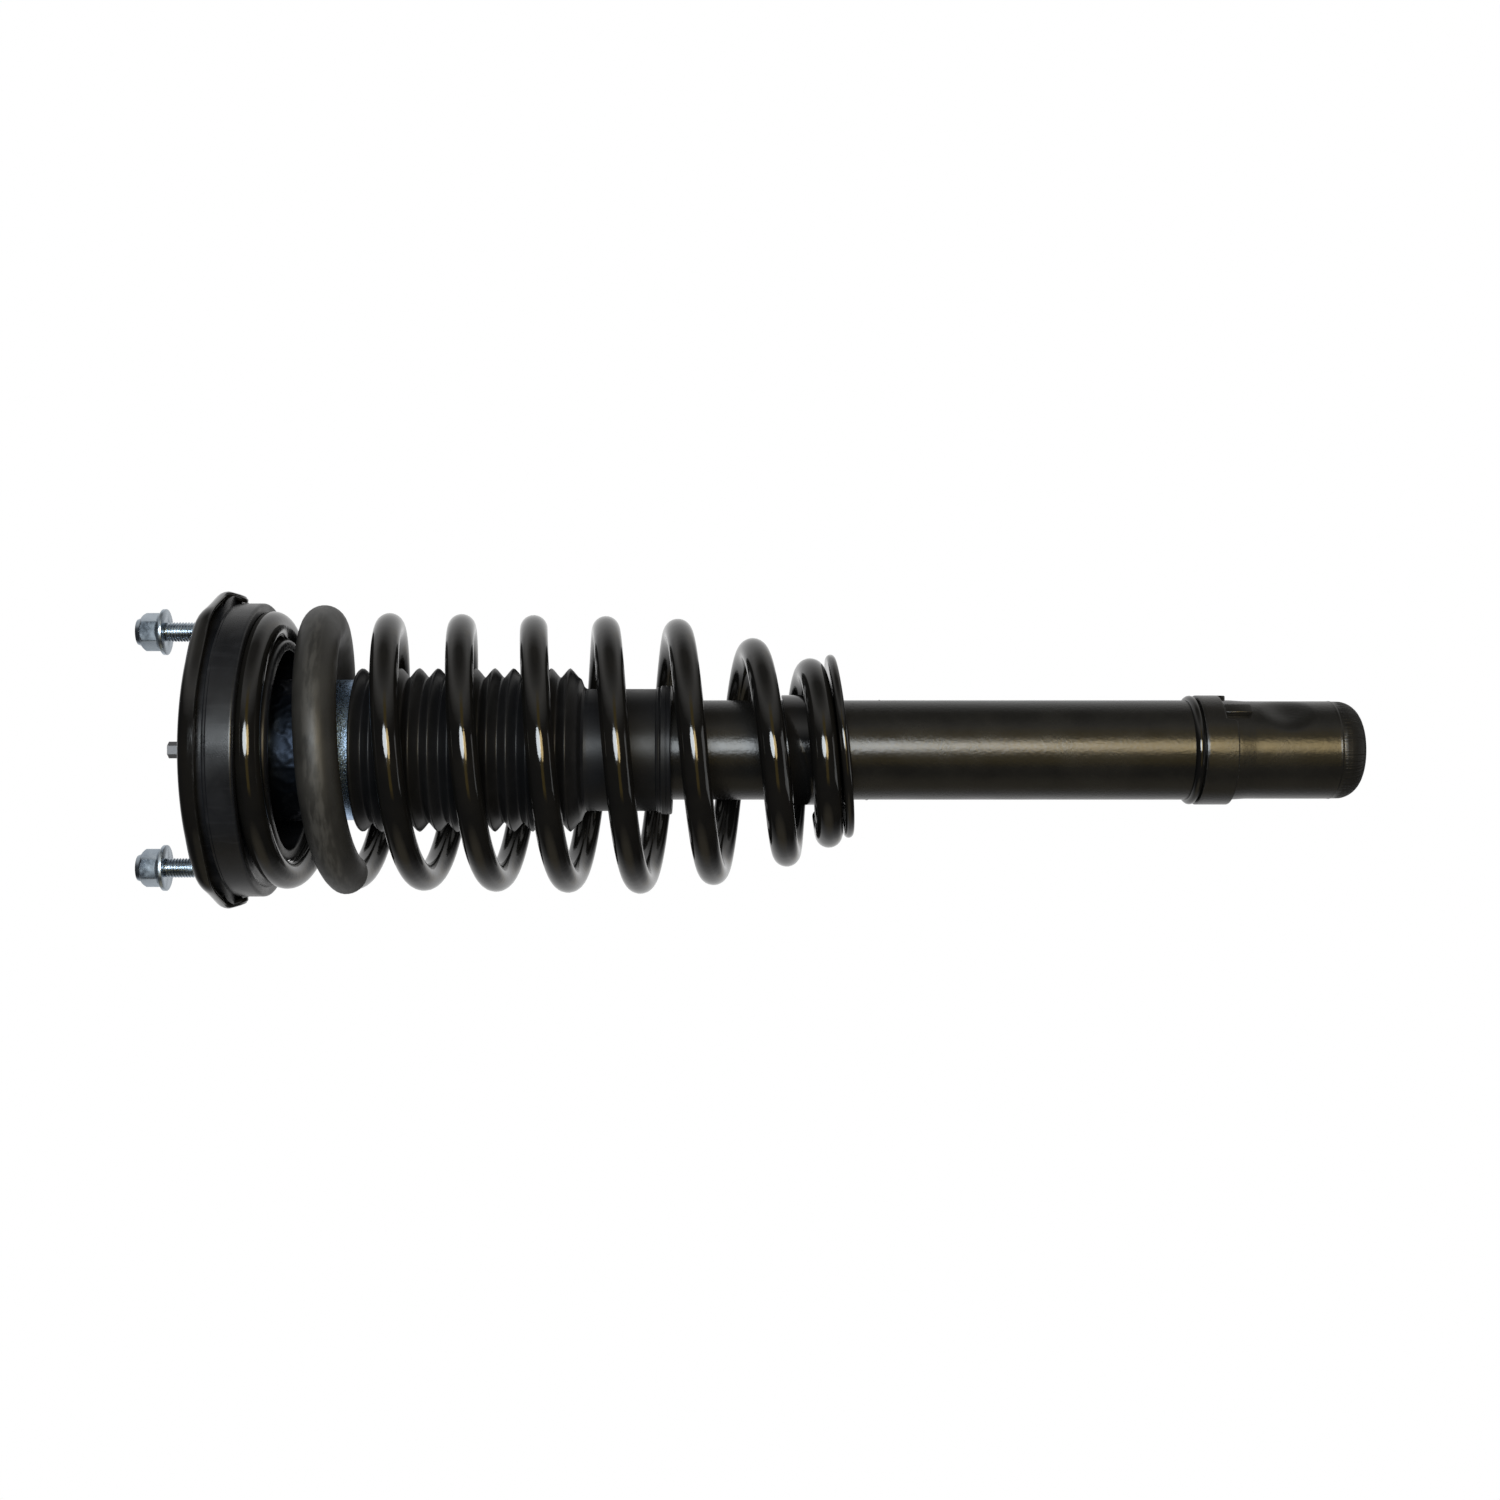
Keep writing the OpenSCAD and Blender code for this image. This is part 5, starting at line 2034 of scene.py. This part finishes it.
    def collar(self) -> bpy.types.Object:
        """Turns the collar, with a notch in its lower edge for the tab.

        Returns:
            The piece.
        """
        angles = np.linspace(-math.pi, math.pi, 240, endpoint=False)
        from_notch = np.abs(np.degrees(angles) - self.notch_deg) - self.notch_half_deg
        end = self.collar_end - np.clip(0.5 - from_notch / self.notch_fade_deg, 0.0, 1.0) * self.notch_h
        start, bore, radius = self.collar_top, self.tube_r + self.collar_gap, self.collar_r
        rows = [
            (bore, start),
            (radius - 0.5, start),
            (radius - 0.15, start + 0.15),
            (radius, start + 0.5),
            (radius, start + 2.0),
            (radius, end - 0.9),
            (radius, end - 0.5),
            (radius - 0.15, end - 0.15),
            (radius - 0.5, end),
            (bore, end),
        ]
        return wrapped("notched_collar", angles, [(r, -depth) for r, depth in rows])

    def circle(self, radius: float, seat: float, depth: float = 0.0, tilt_deg: float = 0.0) -> np.ndarray:
        """Points on a circle round the tube, parallel to a seat.

        Args:
            radius: The circle's radius in mm.
            seat: How far down the seat's middle is, in mm.
            depth: Distance below the seat in mm.
            tilt_deg: The seat's tilt in degrees.

        Returns:
            N by 3 array in metres.
        """
        angles = around(self.weld_columns)
        tilt = math.radians(tilt_deg)
        x, y, z = radius * np.cos(angles), radius * np.sin(angles), np.full_like(angles, -depth)
        height = x * math.sin(tilt) + z * math.cos(tilt) - seat
        return np.stack([x * math.cos(tilt) - z * math.sin(tilt), y, height], axis=-1) * MM

    def bead(self, name: str, points: np.ndarray, radius: float, ripples: int) -> bpy.types.Object:
        """Lays a rippled weld bead along a closed path.

        Args:
            name: The piece's name.
            points: The path in metres.
            radius: The bead's radius in mm.
            ripples: Ripples round the bead.

        Returns:
            The piece.
        """
        count = len(points)
        turn = np.arange(count) / count
        rng = np.random.default_rng(SEED)
        slow = sum(np.sin(FULL_TURN * (k * turn + rng.uniform())) for k in (2, 3, 5)) * self.weld_waver
        swell = 1.0 + self.weld_ripple * np.abs(np.sin(math.pi * ripples * turn)) + slow
        mesh = bpy.data.meshes.new(name)
        mesh.from_pydata([tuple(p) for p in points], [(i, (i + 1) % count) for i in range(count)], [])
        mesh.attributes.new("swell", "FLOAT", "POINT").data.foreach_set("value", swell.astype(np.float32))
        values = {"Wire Radius": radius * MM, "Sides": 16, "Closed Ends": False}
        return grown(new_piece(name, mesh), self.trees.wire, values)

    def spatter(self, name: str) -> bpy.types.Object:
        """Scatters weld spatter on the band of the tube under the perch.

        Args:
            name: The piece's name.

        Returns:
            The piece.
        """
        rings, columns = 6, 48
        low, high = self.spatter_band
        radius = self.tube_r * MM
        points = [
            (radius * math.cos(a), radius * math.sin(a), -(low + (high - low) * r / rings) * MM)
            for r in range(rings + 1)
            for a in around(columns)
        ]
        faces: list[Quad] = []
        for r in range(rings):
            here, below = r * columns, (r + 1) * columns
            for c in range(columns):
                beside = (c + 1) % columns
                faces.append((here + c, here + beside, below + beside, below + c))
        mesh = bpy.data.meshes.new(name)
        mesh.from_pydata(points, [], faces)
        values = {"Density": self.spatter_density, "Largest": self.spatter_r * MM, "Seed": SEED}
        return grown(new_piece(name, mesh), self.trees.spatter, values)

    def build(self) -> None:
        """Builds the tube, the perch, the collar and their welds."""
        self.settle(self.tube(), Slot.SATIN_BLACK, "outer_tube")
        self.settle(rounded_copy("spring_perch", "seat_perch", 0.5), Slot.GLOSS_BLACK, "spring_perch")
        self.settle(self.collar(), Slot.SATIN_BLACK, "locating_collar")
        self.settle(rounded_copy("locating_tab", "raised_tab", 0.35), Slot.SATIN_BLACK, "locating_tab")
        off = self.perch_weld_off
        path = self.circle(self.tube_r + off, self.perch_z, self.perch_t + off, self.perch_tilt)
        weld = self.bead("perch_weld", path, self.perch_weld_r, self.perch_weld_ripples)
        self.settle(weld, Slot.GLOSS_BLACK, "perch_weld_bead")
        out, up = self.collar_weld_off
        path = self.circle(self.tube_r + out, self.collar_top - up)
        weld = self.bead("collar_weld", path, self.collar_weld_r, self.collar_weld_ripples)
        self.settle(weld, Slot.GLOSS_BLACK, "collar_weld_bead")
        self.settle(self.spatter("perch_spatter"), Slot.GLOSS_BLACK)


@dataclass(frozen=True)
class Lamp:
    """A soft oval lamp: its name, its place, width and height in metres, its power in watts and its colour."""

    name: str
    at: tuple[float, float, float]
    size: tuple[float, float]
    power: float
    colour: Colour

    def light(self, aim: Sequence[float]) -> None:
        """Hangs the lamp.

        Args:
            aim: The point that it faces.
        """
        data = bpy.data.lights.new(self.name, "AREA")
        data.shape = "ELLIPSE"
        data.size, data.size_y = self.size
        data.energy = self.power
        data.color = self.colour
        lamp = bpy.data.objects.new(self.name, data)
        bpy.context.scene.collection.objects.link(lamp)
        lamp.rotation_mode = "QUATERNION"
        lamp.rotation_quaternion = (Vector(self.at) - Vector(aim)).to_track_quat("Z", "Y")
        lamp.location = self.at


@dataclass
class Studio:
    """The camera, the lamps, the floor and the world.

    Attributes:
        floor_lift: How much the floor is brightened where it is seen.
        fill: Strength of the plain light from all sides.
        dark: What reflections show between the patches named after it.
    """

    camera_at: tuple[float, float, float] = (0.0, -0.98, -0.2586)
    lens: float = 45.84
    shift_x: float = 0.02
    floor_z: float = -1.3
    floor_half: float = 0.3
    floor_shade: Colour = (0.9, 0.9, 0.9)
    floor_lift: float = 0.68
    lamps_aim: tuple[float, float, float] = (0.0, 0.0, -0.26)
    lamps: tuple[Lamp, ...] = (
        Lamp("key_lamp", (0.47, -3.0, -0.10), (1.35, 1.6), 98.0, (0.88, 0.95, 1.0)),
        Lamp("warm_lamp", (0.47, -3.0, -1.25), (1.35, 1.1), 43.0, (1.0, 0.76, 0.36)),
    )
    fill: float = 0.25
    dark: Colour = (0.016, 0.016, 0.018)
    below: Colour = (0.34, 0.30, 0.22)
    above: Colour = (0.60, 0.59, 0.57)
    ceiling: Colour = (0.10, 0.098, 0.095)
    strip: Colour = (0.66, 0.46, 0.08)
    behind: Colour = (0.8, 0.8, 0.8)

    def camera(self) -> None:
        """Places the camera: it looks along +Y with +X up."""
        data = bpy.data.cameras.new("camera")
        data.lens = self.lens
        data.sensor_width = 36.0
        data.shift_x = self.shift_x
        data.clip_start, data.clip_end = 0.01, 20.0
        camera = bpy.data.objects.new("camera", data)
        bpy.context.scene.collection.objects.link(camera)
        turn = Matrix(((0, 1, 0), (0, 0, -1), (-1, 0, 0)))
        camera.matrix_world = Matrix.Translation(self.camera_at) @ turn.to_4x4()
        bpy.context.scene.camera = camera

    def floor(self) -> None:
        """Lays the pale floor."""
        half = self.floor_half
        spots = [(x * half, y * half, self.floor_z) for x, y in ((-1, -1), (1, -1), (1, 1), (-1, 1))]
        mesh = bpy.data.meshes.new("floor")
        mesh.from_pydata(spots, [], [(0, 1, 2, 3)])
        floor = new_piece("floor", mesh)
        made = bpy.data.materials.new("pale_floor")
        w = cleared(made)
        ray = w.add("ShaderNodeLightPath").outputs
        mirrored = w.math("MAXIMUM", ray["Is Glossy Ray"], ray["Is Transmission Ray"])
        shown = w.times(w.math("MAXIMUM", ray["Is Camera Ray"], mirrored), self.floor_lift)
        matte = w.add("ShaderNodeBsdfDiffuse", {"Color": rgba(self.floor_shade)})
        lift = w.add("ShaderNodeEmission", {"Color": WHITE, "Strength": shown})
        total = w.add("ShaderNodeAddShader", {0: matte.outputs[0], 1: lift.outputs[0]})
        w.add("ShaderNodeOutputMaterial", {"Surface": total.outputs[0]})
        mesh.materials.append(made)

    def room(self, w: Wiring) -> bpy.types.NodeSocket:
        """The studio that reflections show: a dark front, pale walls above, below and behind, and a warm strip.

        Args:
            w: The world's wiring.

        Returns:
            The colour's socket.
        """
        way = w.split(w.add("ShaderNodeTexCoord").outputs["Generated"])
        ends = w.times(w.remap(way["Z"], 0.5, 0.93, 1.0, 0.0), w.remap(way["Z"], -0.3, -0.7, 1.0, 0.0))
        patches = (
            (w.remap(way["X"], -0.84, -0.98), self.below),
            (w.remap(way["X"], 0.35, 0.66), self.above),
            (w.remap(way["X"], 0.74, 0.97), self.ceiling),
            (
                w.times(
                    w.window(way["Z"], (0.0, -0.05), (-0.30, -0.42)),
                    w.window(way["X"], (-0.6, -0.45), (0.6, 0.82)),
                ),
                self.strip,
            ),
            (w.times(w.remap(way["Y"], 0.12, 0.7), ends), self.behind),
        )
        colour: Any = self.dark
        for share, patch in patches:
            colour = w.blend_colours(share, colour, patch)
        return colour

    def world(self) -> None:
        """Lights the world: white where it is seen, a plain fill light, and the room in reflections."""
        world = bpy.data.worlds.new("studio")
        bpy.context.scene.world = world
        w = cleared(world)
        ray = w.add("ShaderNodeLightPath").outputs
        mirrored = w.math("MAXIMUM", ray["Is Glossy Ray"], ray["Is Transmission Ray"])
        room, fill, seen = (
            w.add("ShaderNodeBackground", {"Color": colour, "Strength": strength}).outputs[0]
            for colour, strength in ((self.room(w), 1.0), (WHITE, self.fill), (WHITE, 1.0))
        )
        lit = w.add("ShaderNodeMixShader", {0: mirrored, 1: fill, 2: room})
        end = w.add("ShaderNodeMixShader", {0: ray["Is Camera Ray"], 1: lit.outputs[0], 2: seen})
        w.add("ShaderNodeOutputWorld", {"Surface": end.outputs[0]})

    def build(self) -> None:
        """Builds the studio."""
        self.camera()
        self.floor()
        self.world()
        for lamp in self.lamps:
            lamp.light(self.lamps_aim)


def dress_packed_nodes(frame: dict[str, Any], book: FinishBook) -> None:
    """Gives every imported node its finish.

    Args:
        book: The finishes.
    """
    for row in frame["record"]["subparts"]:
        book.dress_node(frame["nodes"][row["node"]], Slot(row["material_slot"]))


def corners(box: tuple[Vector, Vector]) -> list[list[float]]:
    """A box as plain lists of numbers."""
    return [[float(c) for c in corner] for corner in box]


def main() -> None:
    """Builds the studio and every sub-assembly."""
    logging.basicConfig(level=logging.INFO, format="%(name)s: %(message)s")
    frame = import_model()
    bpy.context.scene.view_settings.view_transform = "Standard"
    Studio().build()
    book, trees = FinishBook(FINISHES), GeometryTrees()
    dress_packed_nodes(frame, book)
    for assembly in (CoilSpring, DustBoot, SpringPad, TopMount, DamperTube):
        assembly(book, trees).build()


if __name__ == "__main__":
    main()
